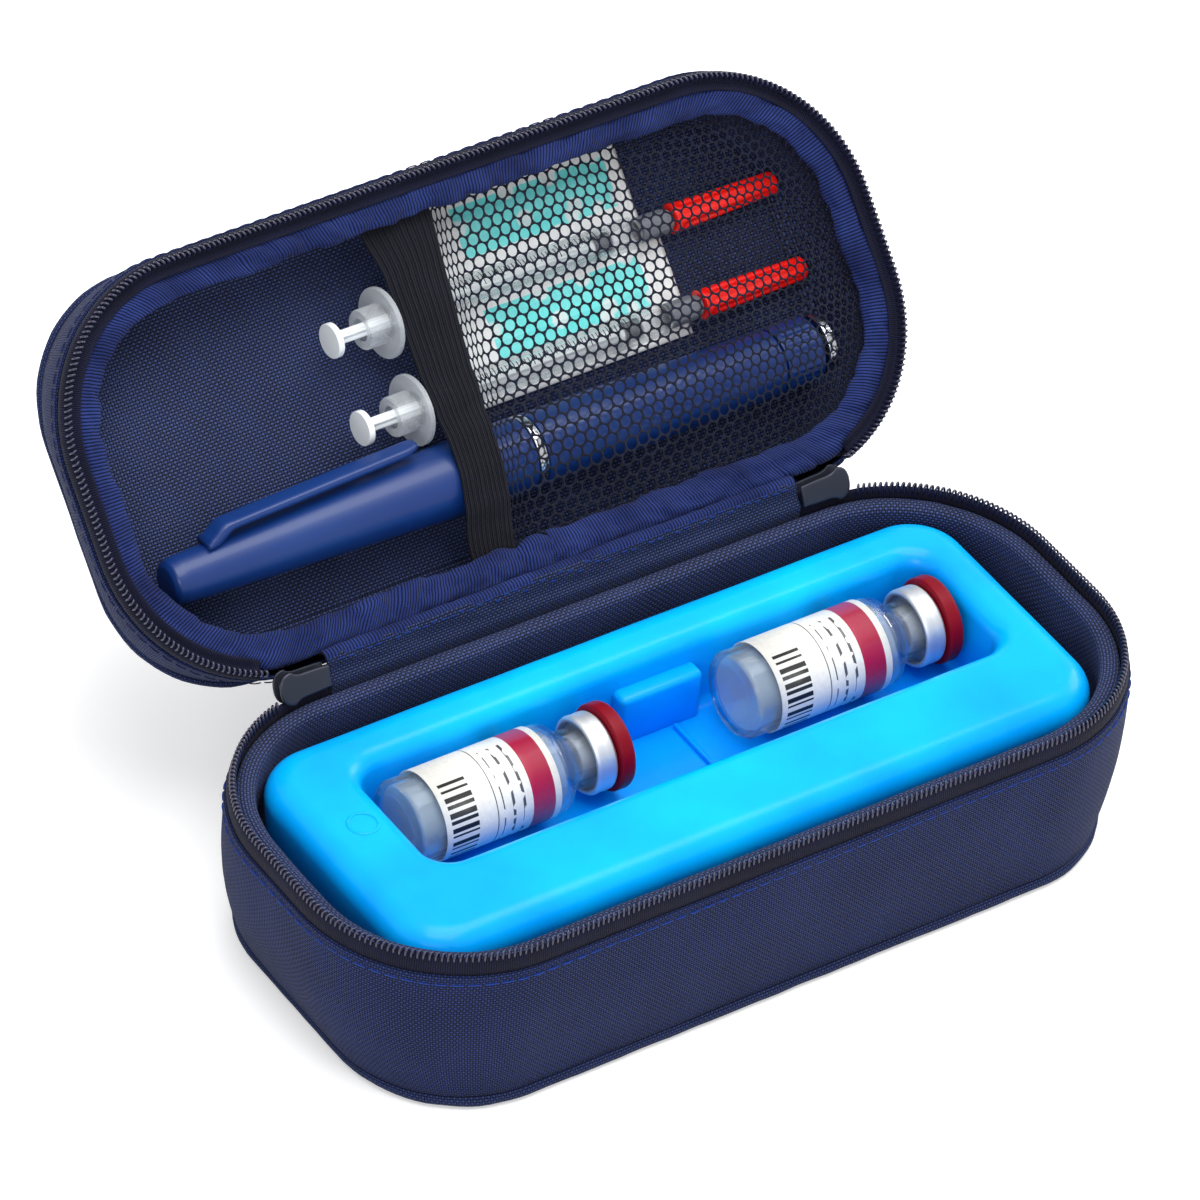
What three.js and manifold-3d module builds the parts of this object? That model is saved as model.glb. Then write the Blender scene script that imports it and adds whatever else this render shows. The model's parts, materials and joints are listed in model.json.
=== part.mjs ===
// Insulin cooling case: a zipped fabric case, shown open, with a moulded ice tray and two vials in the
// base, and a pen, two syringes and two sachets held in the lid by an elastic band and a net pocket.
// Millimetres, +Z up. Origin at the centre of the bottom panel's underside, X along the case's length,
// Y towards the hinge at the back.

import * as THREE from 'three';
import { mergeVertices } from 'three/addons/utils/BufferGeometryUtils.js';
import Module from 'manifold-3d';

const wasm = await Module();
wasm.setup();

// Case, measured along the middle of the zip
const caseLength = 200;
const caseWidth = 90;
const endStraight = 19;
const panelEndSetback = 9;
const panelSideSetback = 2.2;
const panelEndStraight = 34.8;
const baseHeight = 41.6;
const lidDepth = 24;
const baseBulgePower = 2.6;
const lidBulgePower = 1.4;
const cornerSteps = 6;

// Fits shared by all pieces
const clearance = 0.3;
const overrun = 1;

// Sewn wall, from the outside in
const bandThickness = 1;
const tapeThickness = 0.8;
const foamWall = 3.2;
const baseFoamFloor = 3;
const lidFoamFloor = 2.5;
const liningThickness = 0.9;
const panelThickness = 1.6;
const pipingRadius = 1.5;
const pipingSides = 6;
const pipingLift = 0.2;
const tapeShowing = 3;
const tapeHeight = 8;
const tapeDrop = 0.5;
const lipThickness = 0.9;
const lipDrop = 0.4;

// Zip chain
const toothPitch = 2.5;
const toothReach = 2.6;
const toothRoot = 0.6;
const toothTipWidth = 0.9;
const toothThickness = 1.6;
const toothMesh = 0.4;

// Lid hinge
const hingeSetback = 1.6;
const openAngleDegrees = 133.7;
const hingeBeadRadius = 0.6;
const hingeBeadSteps = 6;
const hingeEndGap = 5;
const hingeNeck = 1.6;

// Zip sliders and their pull tabs
const sliderLength = 12.4;
const sliderHeight = 7.4;
const sliderLeanDegrees = 25;
const sliderRise = 3.3;
const sliderOut = 0.9;
const sliderPlate = 0.8;
const sliderMouth = 2.4;
const sliderPost = 2.6;
const sliderFromHinge = 7.1;
const sliderTailShare = 0.32;
const sliderNeckShare = 0.36;
const sliderWaistShare = 0.2;
const sliderThroatShare = 0.17;
const sliderShoulderShare = 0.25;
const sliderFillet = 1;
const lugWidth = 4.4;
const lugDrop = 5;
const lugStandoff = 0.3;
const studRadius = 0.8;
const studHeadRadius = 1.4;
const studHeadThickness = 0.5;
const studSides = 10;
const tabLength = 21;
const tabWidth = 6.2;
const tabEyeWidth = 4.4;
const tabThickness = 0.8;
const tabGripHole = 1.5;

// Binding ring of the lid
const ringOuterInset = 2.4;
const ringWidth = 5;
const ringThickness = 3.7;
const ringRise = 0.3;
const ringRound = 1.1;

// Elastic band and net pocket in the lid
const bandFromFlange = 0.8;
const bandBow = 2.8;
const bandBowShares = [0.35, 0.82];
const bandWidthNear = 10.9;
const bandWidthFar = 18.5;
const elasticThickness = 1;
const coverEdgeDrop = 4.2;
const netThickness = 0.6;
const netPitch = 7.2;
const netStrut = 1.7;
const netHem = 1.4;
const bandSteps = 14;
const coverEdgeInset = 5.7;
const coverEase = 12;
const coverFromCentre = [-46.6, -37.2, -31.6, -25.6, -19, -12.1, -4.6, 3.4, 13.4, 23.4, 32.4, 45.4];
const coverHeights = [-4.2, -4.2, -2.9, -1.1, -0.45, -1.1, -2.7, -3.8, -4.3, -4.4, -4.3, -4.2];

// Ice tray
const trayEndGap = 12;
const traySideGap = 10;
const trayCornerEase = 22.5;
const trayTop = 41;
const trayEdgeRound = 6.2;
const trayFootInset = 2.4;
const trayFootRound = 2.2;
const recessFootWall = 19;
const recessCapWall = 12;
const recessBackWall = 13;
const recessWidthShare = 0.48;
const recessFloor = 21.8;
const recessCornerRadius = 6;
const recessDraft = 1.1;
const recessEdgeRound = 4.2;
const benchLength = 21;
const benchDepth = 4.4;
const benchTop = 34;
const benchFromVial = 1.2;
const floorRibWidth = 1;
const floorRibHeight = 1.2;
const floorRibFromBench = 3.3;
const plugRadius = 2.6;
const plugThickness = 1.5;
const plugFromEnd = 11.5;
const plugY = 5.8;
const plugSides = 16;

// Vials
const vialRadius = 9.9;
const vialShoulder = 3.8;
const vialNeckLength = 5.9;
const vialNeckRadius = 6.6;
const vialLipRadius = 7.6;
const vialLipHeight = 1.9;
const vialWall = 1.1;
const vialFoot = 1.5;
const vialFootRound = 1.4;
const labelStart = 6.4;
const labelFromShoulder = 3;
const labelThickness = 0.25;
const crimpRadius = 8.9;
const crimpLength = 5;
const crimpWall = 0.6;
const crimpWindow = 3;
const flipCapRadius = 9.8;
const flipCapLength = 3.7;
const flipCapRound = 0.7;
const stopperHead = 1.6;
const stopperPlug = 4;
const vialFootGap = 3.4;
const vialCapGap = 2.3;
const vialBackGap = 2.7;
const vialsApart = 30.3;
const vialSides = 18;

// Pen
const penTipGap = 15.5;
const penButtonGap = 16.5;
const penFromCentre = -19.2;
const penCapLength = 89;
const penTipRadius = 5.2;
const penCapRadius = 8.3;
const penCapTaper = 74;
const penTipChamfer = 0.7;
const penRingLength = 2.2;
const penRingRadius = 8.2;
const penBodyRadius = 8.1;
const penBodyEndRadius = 7.5;
const penHolderLength = 36;
const penHolderRadius = 6.3;
const penKnobLength = 9.6;
const penKnobRadius = 7.4;
const penKnobFlutes = 14;
const penKnobFlute = 0.25;
const penButtonLength = 2.4;
const penButtonRadius = 6.9;
const penButtonStem = 1.6;
const penButtonStemRadius = 4;
const penButtonTravel = 1.2;
const clipRoot = 10;
const clipFromBand = 4;
const clipWidth = 5;
const clipThickness = 2;
const clipLift = 2.4;
const clipTurnDegrees = 60;
const clipRise = 2.6;
const penSides = 20;

// Syringes
const syringesFromCentre = { upper: 17.3, lower: -2.4 };
const barrelRadius = 3.7;
const barrelBore = 2.6;
const barrelEndWall = 1.1;
const flangeShare = -0.084;
const collarRadius = 4.5;
const collarLength = 5;
const flangeRadius = 8;
const flangeThickness = 1.3;
const thumbStandoff = 11.5;
const nozzleRadius = 1.9;
const nozzleLength = 2.4;
const thumbRadius = 3.9;
const thumbThickness = 1.5;
const rodRadius = 1.5;
const sealRadius = 2.3;
const sealLength = 4.5;
const sealWaist = 1.9;
const hubLength = 6;
const hubRadius = 2.9;
const needleRadius = 0.35;
const needleLength = 9;
const needleCapLength = 28;
const needleCapRadius = 3.4;
const needleCapTipRadius = 2.7;
const needleCapFlutes = 8;
const needleCapFlute = 0.35;
const needleCapBore = 1.4;
const needleCapWall = 2;
const needleCapGap = 11.8;
const syringeSides = 12;

// Sachets
const sachetThickness = 0.7;
const sachetSeam = 2.6;
const sachetSeamThickness = 0.35;
const sachetStartShare = 0.203;
const sachetHemGap = 7.2;
const sachetsApart = 0.6;
const sachetUpperFromCap = 4.9;
const sachetUpperWidthShare = 0.251;
const sachetLowerFromCap = 1.5;
const sachetLowerWidthShare = 0.249;

const halfTurn = Math.PI;
const quarterTurn = Math.PI / 2;
const zipGap = 2 * toothReach - toothMesh;
const hingeY = caseWidth / 2 + hingeSetback;
const hingeZ = baseHeight + zipGap;
const lidCentre = hingeSetback + caseWidth / 2;

// The case's outlines, and the hinge on the straight back between the sliders
const cornerRadius = (caseWidth - endStraight) / 2;
const panelLength = caseLength - 2 * panelEndSetback;
const panelWidth = caseWidth - 2 * panelSideSetback;
const panelCornerRadius = (panelWidth - panelEndStraight) / 2;
const hingeLength = caseLength - 2 * cornerRadius - 2 * hingeEndGap;
const sliderCentre = hingeLength / 2 + sliderFromHinge;

// The tray fills the base, and its recess takes the two vials foot to cap with the bench between them
const trayLength = caseLength - 2 * trayEndGap;
const trayWidth = caseWidth - 2 * traySideGap;
const trayCornerRadius = cornerRadius - trayCornerEase;
const recessLength = trayLength - recessFootWall - recessCapWall;
const recessWidth = trayWidth * recessWidthShare;
const recessCentreX = (recessFootWall - recessCapWall) / 2;
const recessCentreY = (trayWidth - recessWidth) / 2 - recessBackWall;
const plugX = plugFromEnd - trayLength / 2;
const vialFullLength = (recessLength - vialFootGap - vialsApart - vialCapGap) / 2;
const vialTopLength = vialNeckLength + 3 * clearance + stopperHead + crimpWall + flipCapLength;
const vialBody = vialFullLength - vialTopLength - vialShoulder;
const labelLength = vialBody - labelStart - labelFromShoulder;
const vialLeftX = recessCentreX - recessLength / 2 + vialFootGap;
const vialRightX = recessCentreX + recessLength / 2 - vialCapGap - vialFullLength;
const vialY = recessCentreY + recessWidth / 2 - vialBackGap - vialRadius;
const benchCentreX = vialRightX - benchFromVial - benchLength / 2;
const floorRibX = benchCentreX + floorRibFromBench;

// The pen and the syringes reach from end to end of the lid; band and sachets keep to the syringes
const penLeft = penTipGap - caseLength / 2;
const penAxis = lidCentre + penFromCentre;
const penBodyStart = penCapLength + penRingLength + 2 * clearance;
const penButtonStart = caseLength - penTipGap - penButtonGap - penButtonLength;
const penKnobEnd = penButtonStart - penButtonTravel - clearance;
const penKnobStart = penKnobEnd - penKnobLength;
const flangeX = caseLength * flangeShare;
const needleCapEnd = caseLength / 2 - needleCapGap - flangeX;
const hubEnd = needleCapEnd - needleCapLength - clearance;
const hubStart = hubEnd - hubLength - nozzleLength;
const barrelLength = hubStart - clearance;
const bandBowed = flangeX + flangeThickness + bandFromFlange;
const bandLeft = bandBowed - bandBow;
const bandRightNear = bandLeft + bandWidthNear;
const bandRightFar = bandLeft + bandWidthFar;
const clipLength = bandLeft - clipFromBand - penLeft - clipRoot;
const sachetLeft = flangeX + barrelLength * sachetStartShare;
const sachetUpperWidth = caseWidth * sachetUpperWidthShare;
const sachetUpperNear = hingeSetback + caseWidth - sachetHemGap - sachetUpperWidth;
const sachetLowerWidth = caseWidth * sachetLowerWidthShare;
const sachets = {
  upper: {
    left: sachetLeft,
    length: flangeX + hubEnd - sachetUpperFromCap - sachetLeft,
    near: sachetUpperNear,
    width: sachetUpperWidth,
  },
  lower: {
    left: sachetLeft,
    length: flangeX + hubEnd - sachetLowerFromCap - sachetLeft,
    near: sachetUpperNear - sachetsApart - sachetLowerWidth,
    width: sachetLowerWidth,
  },
};

const colours = {
  oxford: 0x1d2748,
  binding: 0x23407f,
  foam: 0xb9bec6,
  zip: 0x23232c,
  gunmetal: 0x3b3d44,
  elastic: 0x24262d,
  net: 0x15171d,
  tray: 0x12bff5,
  glass: 0xdfeaf0,
  liquid: 0xcfe0ee,
  label: 0xf3efe6,
  rubber: 0x7c8088,
  aluminium: 0xc6cad0,
  burgundy: 0x8c1030,
  pen: 0x16307c,
  silver: 0xbfc4cc,
  clear: 0xe6eef2,
  white: 0xeef1f2,
  red: 0xd8141c,
  aqua: 0x6fd6d6,
};

function material(colour, roughness, metalness = 0) {
  return new THREE.MeshStandardMaterial({ color: colour, roughness, metalness });
}

function piece(parent, name, geometry, finish) {
  const mesh = new THREE.Mesh(geometry, finish);
  mesh.name = name;
  parent.add(mesh);
  return mesh;
}

// Signed volume of an indexed triangle list, to turn a body's faces outwards
function signedVolume(points, triangles) {
  let volume = 0;
  const [a, b, c] = [new THREE.Vector3(), new THREE.Vector3(), new THREE.Vector3()];
  for (let i = 0; i < triangles.length; i += 3) {
    a.copy(points[triangles[i]]);
    b.copy(points[triangles[i + 1]]);
    c.copy(points[triangles[i + 2]]);
    volume += a.dot(b.cross(c));
  }
  return volume;
}

function body(points, triangles) {
  const faces = triangles.slice();
  if (signedVolume(points, faces) < 0) faces.reverse();
  const geometry = new THREE.BufferGeometry().setFromPoints(points);
  geometry.setIndex(faces);
  return geometry;
}

// A closed body through rings of equally many points: capped at both ends, or joined round on itself
function loft(rings, joined = false) {
  const count = rings[0].length;
  const points = rings.flat();
  const triangles = [];
  const bands = joined ? rings.length : rings.length - 1;
  for (let r = 0; r < bands; r += 1) {
    const here = r * count;
    const next = ((r + 1) % rings.length) * count;
    for (let i = 0; i < count; i += 1) {
      const j = (i + 1) % count;
      triangles.push(here + i, here + j, next + j, here + i, next + j, next + i);
    }
  }
  if (!joined) {
    const last = (rings.length - 1) * count;
    for (let i = 1; i < count - 1; i += 1) {
      triangles.push(0, i + 1, i, last, last + i, last + i + 1);
    }
  }
  return body(points, triangles);
}

function solidOf(geometry) {
  const plain = geometry.clone();
  plain.deleteAttribute('normal');
  plain.deleteAttribute('uv');
  const merged = mergeVertices(plain);
  return new wasm.Manifold(new wasm.Mesh({
    numProp: 3,
    vertProperties: new Float32Array(merged.attributes.position.array),
    triVerts: new Uint32Array(merged.index.array),
  }));
}

function geometryOf(solid) {
  const mesh = solid.getMesh();
  const geometry = new THREE.BufferGeometry();
  geometry.setAttribute('position', new THREE.BufferAttribute(mesh.vertProperties, 3));
  geometry.setIndex(new THREE.BufferAttribute(mesh.triVerts, 1));
  return geometry;
}

function joined(first, ...others) {
  return geometryOf(others.reduce((sum, next) => sum.add(solidOf(next)), solidOf(first)));
}

function cut(first, ...others) {
  return geometryOf(others.reduce((rest, next) => rest.subtract(solidOf(next)), solidOf(first)));
}

function box(size, centre) {
  return new THREE.BoxGeometry(...size).translate(...centre);
}

// A turned piece along +X: the profile lists distance along the axis and radius
function turned(profile, sides) {
  const points = profile.map(([along, radius]) => new THREE.Vector2(radius, along));
  const geometry = new THREE.LatheGeometry(points, sides);
  geometry.rotateZ(-quarterTurn);
  const merged = mergeVertices(stripped(geometry));
  return body(pointsOf(merged), dropEmpty(Array.from(merged.index.array)));
}

function stripped(geometry) {
  geometry.deleteAttribute('normal');
  geometry.deleteAttribute('uv');
  return geometry;
}

function pointsOf(geometry) {
  const place = geometry.attributes.position;
  return Array.from({ length: place.count }, (_, i) => new THREE.Vector3().fromBufferAttribute(place, i));
}

function dropEmpty(triangles) {
  const kept = [];
  for (let i = 0; i < triangles.length; i += 3) {
    const [a, b, c] = triangles.slice(i, i + 3);
    if (a !== b && b !== c && c !== a) kept.push(a, b, c);
  }
  return kept;
}

// Rounded rectangle, counter-clockwise from the back end of the right side
function roundedOutline(length, width, radius, z, centreY = 0, centreX = 0) {
  const points = [];
  const corners = [[1, 1], [-1, 1], [-1, -1], [1, -1]];
  corners.forEach(([sideX, sideY], corner) => {
    for (let step = 0; step <= cornerSteps; step += 1) {
      const angle = (corner + step / cornerSteps) * quarterTurn;
      points.push(new THREE.Vector3(
        centreX + sideX * (length / 2 - radius) + radius * Math.cos(angle),
        centreY + sideY * (width / 2 - radius) + radius * Math.sin(angle),
        z,
      ));
    }
  });
  return points;
}

// One half of the case in its own frame: zip line at z = 0, sewn panel at z = -depth, and its
// hinge side at +Y or -Y. Both halves number their outline's points alike, from the hinge side.
function caseHalf(depth, power, centreY, hingeSide) {
  return (inset, drop) => {
    const share = Math.min(Math.max(drop / depth, 0), 1) ** power;
    const length = caseLength + (panelLength - caseLength) * share - 2 * inset;
    const width = caseWidth + (panelWidth - caseWidth) * share - 2 * inset;
    const radius = cornerRadius + (panelCornerRadius - cornerRadius) * share - inset;
    const outline = roundedOutline(length, width, radius, -drop);
    outline.forEach((point) => point.setY(centreY + hingeSide * point.y));
    return outline;
  };
}

// A solid whose section, a list of [inset, drop], follows the case's outline all round
function wallRing(half, section) {
  return loft(section.map(([inset, drop]) => half(inset, drop)), true);
}

// The same between two points of the outline, with flat ends
function wallStrip(half, section, first, last) {
  const outlines = section.map(([inset, drop]) => half(inset, drop));
  const rings = [];
  for (let i = first; i <= last; i += 1) {
    rings.push(outlines.map((outline) => outline[i % outline.length]));
  }
  return loft(rings);
}

const outlinePoints = 4 * (cornerSteps + 1);
const zipFirst = cornerSteps + 2;
const zipLast = outlinePoints + cornerSteps - 1;

const bandInner = -(tapeThickness / 2 + clearance);
const bandOuter = bandInner - bandThickness;
const foamOuter = tapeThickness / 2 + clearance;
const foamSwell = bandInner + clearance;
const foamInner = foamOuter + foamWall;
const liningOuter = foamInner + clearance;
const liningInner = liningOuter + liningThickness;
const pipingTop = pipingLift + 2 * pipingRadius;

// The levels at which a wall's rings stand, shared by the layers so that they bulge alike
function wallLevels(depth) {
  const bottom = depth - pipingTop - clearance;
  return [0, 1, 2, 3].map((step) => tapeShowing + (bottom - tapeShowing) * step / 3);
}

// Side band of outer fabric, bulging like a filled bag
function sideBand(half, depth) {
  const outer = wallLevels(depth).map((drop) => [bandOuter, drop]);
  const inner = wallLevels(depth).map((drop) => [bandInner, drop]).reverse();
  return wallRing(half, [...outer, ...inner]);
}

function piping(half, depth) {
  const middle = (bandOuter + bandInner) / 2;
  const section = Array.from({ length: pipingSides }, (_, i) => {
    const angle = 2 * halfTurn * (i + 0.5) / pipingSides;
    return [
      middle + pipingRadius * Math.cos(angle),
      depth - pipingLift - pipingRadius + pipingRadius * Math.sin(angle),
    ];
  });
  return wallRing(half, section);
}

function sewnPanel(half, depth) {
  const edge = (bandOuter + bandInner) / 2 + pipingRadius + clearance;
  return loft([half(edge, depth), half(edge, depth - panelThickness)]);
}

// Insulating foam, walls and floor in one cup. It fills the side band below the zip tape.
function foamCup(half, depth, top, floorThickness) {
  const under = depth - panelThickness - clearance;
  const floor = under - floorThickness;
  const [, upper, lower, bottom] = wallLevels(depth);
  return loft([
    half(foamOuter, under),
    half(foamOuter, bottom),
    half(foamSwell, lower),
    half(foamSwell, upper),
    half(foamOuter, tapeHeight + clearance),
    half(foamOuter, top),
    half(foamInner, top),
    half(foamInner, (top + floor) / 2),
    half(foamInner, floor),
  ]);
}

// Height of the lining's upper face at the floor of a half, in the half's frame
function liningFloor(depth, floorThickness) {
  return panelThickness + 2 * clearance + floorThickness + liningThickness - depth;
}

// Lining cup, with a lip folded over the foam's edge where a lip inset is given
function liningCup(half, depth, top, floorThickness, lipInset) {
  const under = depth - panelThickness - 2 * clearance - floorThickness;
  const floor = under - liningThickness;
  const middle = (top + under) / 2;
  const folded = top + lipThickness;
  const edge = lipInset === undefined
    ? [half(liningOuter, top)]
    : [half(liningOuter, folded), half(lipInset, folded), half(lipInset, top)];
  return loft([
    half(liningOuter, under),
    half(liningOuter, middle),
    ...edge,
    half(liningInner, top),
    half(liningInner, middle),
    half(liningInner, floor),
  ]);
}

function zipTape(half) {
  const outer = -tapeThickness / 2;
  const inner = tapeThickness / 2;
  const section = [[outer, tapeDrop], [inner, tapeDrop], [inner, tapeHeight], [outer, tapeHeight]];
  return wallStrip(half, section, zipFirst, zipLast);
}

// Zip chain: a comb of tapering teeth on a low spine, worked out chord by chord along the zip line.
// The two halves of a zip are set half a pitch apart, so that their teeth pass each other.
function zipChain(half, startsWithTooth) {
  const spineDrop = tapeDrop - clearance;
  const inner = half(toothThickness / 2, 0);
  const outer = half(-toothThickness / 2, 0);
  const middle = half(0, 0);
  const points = [];
  const triangles = [];
  const at = (side, chord, share, height) => {
    const from = side[chord % outlinePoints];
    const to = side[(chord + 1) % outlinePoints];
    const place = share === 1 ? to.clone() : new THREE.Vector3().lerpVectors(from, to, share);
    points.push(place.setZ(height));
    return points.length - 1;
  };
  for (let chord = zipFirst; chord < zipLast; chord += 1) {
    const length = middle[chord % outlinePoints].distanceTo(middle[(chord + 1) % outlinePoints]);
    const teeth = Math.max(1, Math.round(length / toothPitch));
    const crest = combCrest(teeth, startsWithTooth, toothTipWidth * teeth / length);
    const profile = [[0, -spineDrop], [1, -spineDrop], ...crest.slice().reverse()];
    const faces = THREE.ShapeUtils.triangulateShape(
      profile.map(([share, height]) => new THREE.Vector2(share * length, height)),
      [],
    );
    const near = profile.map(([share, height]) => at(inner, chord, share, height));
    const far = profile.map(([share, height]) => at(outer, chord, share, height));
    faces.forEach(([a, b, c]) => {
      triangles.push(near[a], near[b], near[c], far[a], far[c], far[b]);
    });
    const firstChord = chord === zipFirst;
    const lastChord = chord === zipLast - 1;
    for (let i = 0; i < profile.length; i += 1) {
      const j = (i + 1) % profile.length;
      const atEnd = i === 1;
      const atStart = j === 0;
      if ((atEnd && !lastChord) || (atStart && !firstChord)) continue;
      triangles.push(near[i], far[i], far[j], near[i], far[j], near[j]);
    }
  }
  const merged = mergeVertices(stripped(body(points, triangles)));
  return body(pointsOf(merged), Array.from(merged.index.array));
}

// The comb's upper edge over one chord, as [share of the chord, height], from its start to its end
function combCrest(teeth, startsWithTooth, tipShare) {
  const halfTip = tipShare / 2 / teeth;
  const crest = [];
  if (startsWithTooth) {
    crest.push([0, toothReach]);
    for (let tooth = 0; tooth < teeth; tooth += 1) {
      const from = tooth / teeth;
      const to = (tooth + 1) / teeth;
      crest.push([from + halfTip, toothReach], [(from + to) / 2, toothRoot], [to - halfTip, toothReach]);
    }
    crest.push([1, toothReach]);
    return crest;
  }
  crest.push([0, toothRoot]);
  for (let tooth = 0; tooth < teeth; tooth += 1) {
    const tip = (tooth + 0.5) / teeth;
    crest.push([tip - halfTip, toothReach], [tip + halfTip, toothReach], [(tooth + 1) / teeth, toothRoot]);
  }
  return crest;
}

// A prism along X from its section in Y and Z
function prismAlongX(section, from, to) {
  const shape = new THREE.Shape(section.map(([y, z]) => new THREE.Vector2(y, z)));
  const geometry = new THREE.ExtrudeGeometry(shape, { depth: to - from, bevelEnabled: false });
  geometry.rotateX(quarterTurn);
  geometry.rotateZ(quarterTurn);
  geometry.translate(from, 0, 0);
  return geometry;
}

// Base-side half of the hinge fabric: it stands in the zip tape's slot and ends in a round fold
// on the hinge axis. Sections are measured from that axis.
function hingePanel() {
  const near = -hingeSetback - tapeThickness / 2;
  const far = -hingeSetback + tapeThickness / 2;
  const bottom = -zipGap - tapeHeight;
  const bead = Array.from({ length: hingeBeadSteps + 1 }, (_, i) => {
    const angle = -quarterTurn / 2 + halfTurn * i / hingeBeadSteps;
    return [hingeBeadRadius * Math.cos(angle), hingeBeadRadius * Math.sin(angle)];
  });
  const section = [[near, bottom], [far, bottom], [far, -hingeNeck], ...bead, [near, -hingeNeck]];
  return prismAlongX(section, -hingeLength / 2, hingeLength / 2);
}

// Lid-side half of the hinge fabric, in the lid's frame. It leans with the lid's wall.
function hingeStrip(half) {
  const thick = tapeThickness / 2;
  const corners = [[-thick, tapeHeight], [thick, tapeHeight], [thick, tapeDrop], [-thick, tapeDrop]];
  const section = corners.map(([inset, drop]) => [half(inset, drop)[cornerSteps].y, -drop]);
  return prismAlongX(section, -hingeLength / 2, hingeLength / 2);
}

// Slider body in X and Z, wide round mouth at -X, narrow square end at +X
function sliderOutline() {
  const mouth = sliderHeight / 2;
  const tail = sliderHeight * sliderTailShare;
  const neck = sliderHeight * sliderNeckShare;
  const waist = sliderLength * sliderWaistShare;
  const throat = -sliderLength * sliderThroatShare;
  const shoulder = -sliderLength * sliderShoulderShare;
  const shape = new THREE.Shape();
  shape.moveTo(sliderLength / 2, -tail);
  shape.lineTo(sliderLength / 2, tail);
  shape.quadraticCurveTo(waist, neck, 0, neck);
  shape.quadraticCurveTo(throat, neck, shoulder, mouth);
  shape.quadraticCurveTo(-sliderLength / 2, mouth, -sliderLength / 2, 0);
  shape.quadraticCurveTo(-sliderLength / 2, -mouth, shoulder, -mouth);
  shape.quadraticCurveTo(throat, -neck, 0, -neck);
  shape.quadraticCurveTo(waist, -neck, sliderLength / 2, -tail);
  return shape;
}

// An outline in X and Z extruded along Y, from a given Y
function plateAlongY(shape, fromY, thickness, curveSegments = 3) {
  const geometry = new THREE.ExtrudeGeometry(shape, { depth: thickness, bevelEnabled: false, curveSegments });
  geometry.rotateX(quarterTurn);
  geometry.translate(0, fromY + thickness, 0);
  return geometry;
}

const lugY = bandThickness + clearance + tapeThickness / 2 + lugStandoff;
const tabY = lugY + sliderPlate + clearance;
const studTop = tabY + tabThickness + clearance;
const studZ = -sliderRise - lugDrop;

// Two plates joined by the post that parts the teeth, leaning back to the open lid, with an upright
// lug and a headed stud for the pull tab
function sliderBody() {
  const innerPlate = plateAlongY(sliderOutline(), -sliderMouth / 2 - sliderPlate, sliderPlate);
  const outerPlate = plateAlongY(sliderOutline(), sliderMouth / 2, sliderPlate);
  const post = box(
    [sliderPost, sliderMouth + sliderPlate, sliderPost / 2],
    [-sliderLength / 2 + sliderPost, 0, 0],
  );
  [innerPlate, outerPlate, post].forEach((part) => {
    part.rotateX(-THREE.MathUtils.degToRad(sliderLeanDegrees));
    part.translate(0, sliderOut, 0);
  });
  const armBottom = -sliderHeight * sliderNeckShare;
  const arm = box(
    [lugWidth, lugY + sliderPlate - sliderMouth / 2, sliderFillet],
    [0, (lugY + sliderPlate + sliderMouth / 2) / 2, armBottom + sliderFillet / 2],
  );
  const lugShape = new THREE.Shape();
  lugShape.moveTo(lugWidth / 2, armBottom + sliderFillet);
  lugShape.lineTo(-lugWidth / 2, armBottom + sliderFillet);
  lugShape.lineTo(-lugWidth / 2, studZ);
  lugShape.absarc(0, studZ, lugWidth / 2, halfTurn, 2 * halfTurn, false);
  const lug = plateAlongY(lugShape, lugY, sliderPlate, 8);
  const stud = studAlongY(studRadius, lugY + sliderPlate / 2, studTop + studHeadThickness / 2);
  const head = studAlongY(studHeadRadius, studTop, studTop + studHeadThickness);
  return joined(innerPlate, outerPlate, post, arm, lug, stud, head);
}

function studAlongY(radius, from, to) {
  const geometry = new THREE.CylinderGeometry(radius, radius, to - from, studSides);
  geometry.translate(0, (from + to) / 2, studZ);
  return geometry;
}

// Pull tab hanging from the stud: narrow at its eye, wider at the grip, with a hole through the grip
function pullTab() {
  const gripZ = studZ - tabLength + tabEyeWidth / 2 + tabWidth / 2;
  const shape = new THREE.Shape();
  shape.absarc(0, studZ, tabEyeWidth / 2, 0, halfTurn, false);
  shape.lineTo(-tabWidth / 2, gripZ);
  shape.absarc(0, gripZ, tabWidth / 2, halfTurn, 2 * halfTurn, false);
  const eye = new THREE.Path();
  eye.absarc(0, studZ, studRadius + clearance, 0, 2 * halfTurn, true);
  const grip = new THREE.Path();
  grip.absarc(0, gripZ, tabGripHole, 0, 2 * halfTurn, true);
  shape.holes.push(eye, grip);
  return plateAlongY(shape, tabY, tabThickness, 8);
}

// Binding rolled over the lid's inner edge
function bindingRing(half) {
  const outer = ringOuterInset;
  const inner = ringOuterInset + ringWidth;
  const bottom = ringThickness - ringRise;
  return wallRing(half, [
    [outer, bottom - ringRound],
    [outer + ringRound, -ringRise],
    [inner - ringRound, -ringRise],
    [inner, ringRound - ringRise],
    [inner, bottom],
    [outer, bottom],
  ]);
}

const coverCurve = new THREE.CatmullRomCurve3(
  coverFromCentre.map((distance, i) => new THREE.Vector3(distance, coverHeights[i], 0)),
  false,
  'centripetal',
);
const coverSamples = coverCurve.getPoints(8 * coverFromCentre.length);

// Height of the stretched cover over the lid's contents, at a distance from the lid's middle line
function coverHeight(fromCentre) {
  const next = coverSamples.findIndex((sample) => sample.x >= fromCentre);
  if (next <= 0) return -coverEdgeDrop;
  const [a, b] = [coverSamples[next - 1], coverSamples[next]];
  return THREE.MathUtils.mapLinear(fromCentre, a.x, b.x, a.y, b.y);
}

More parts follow.
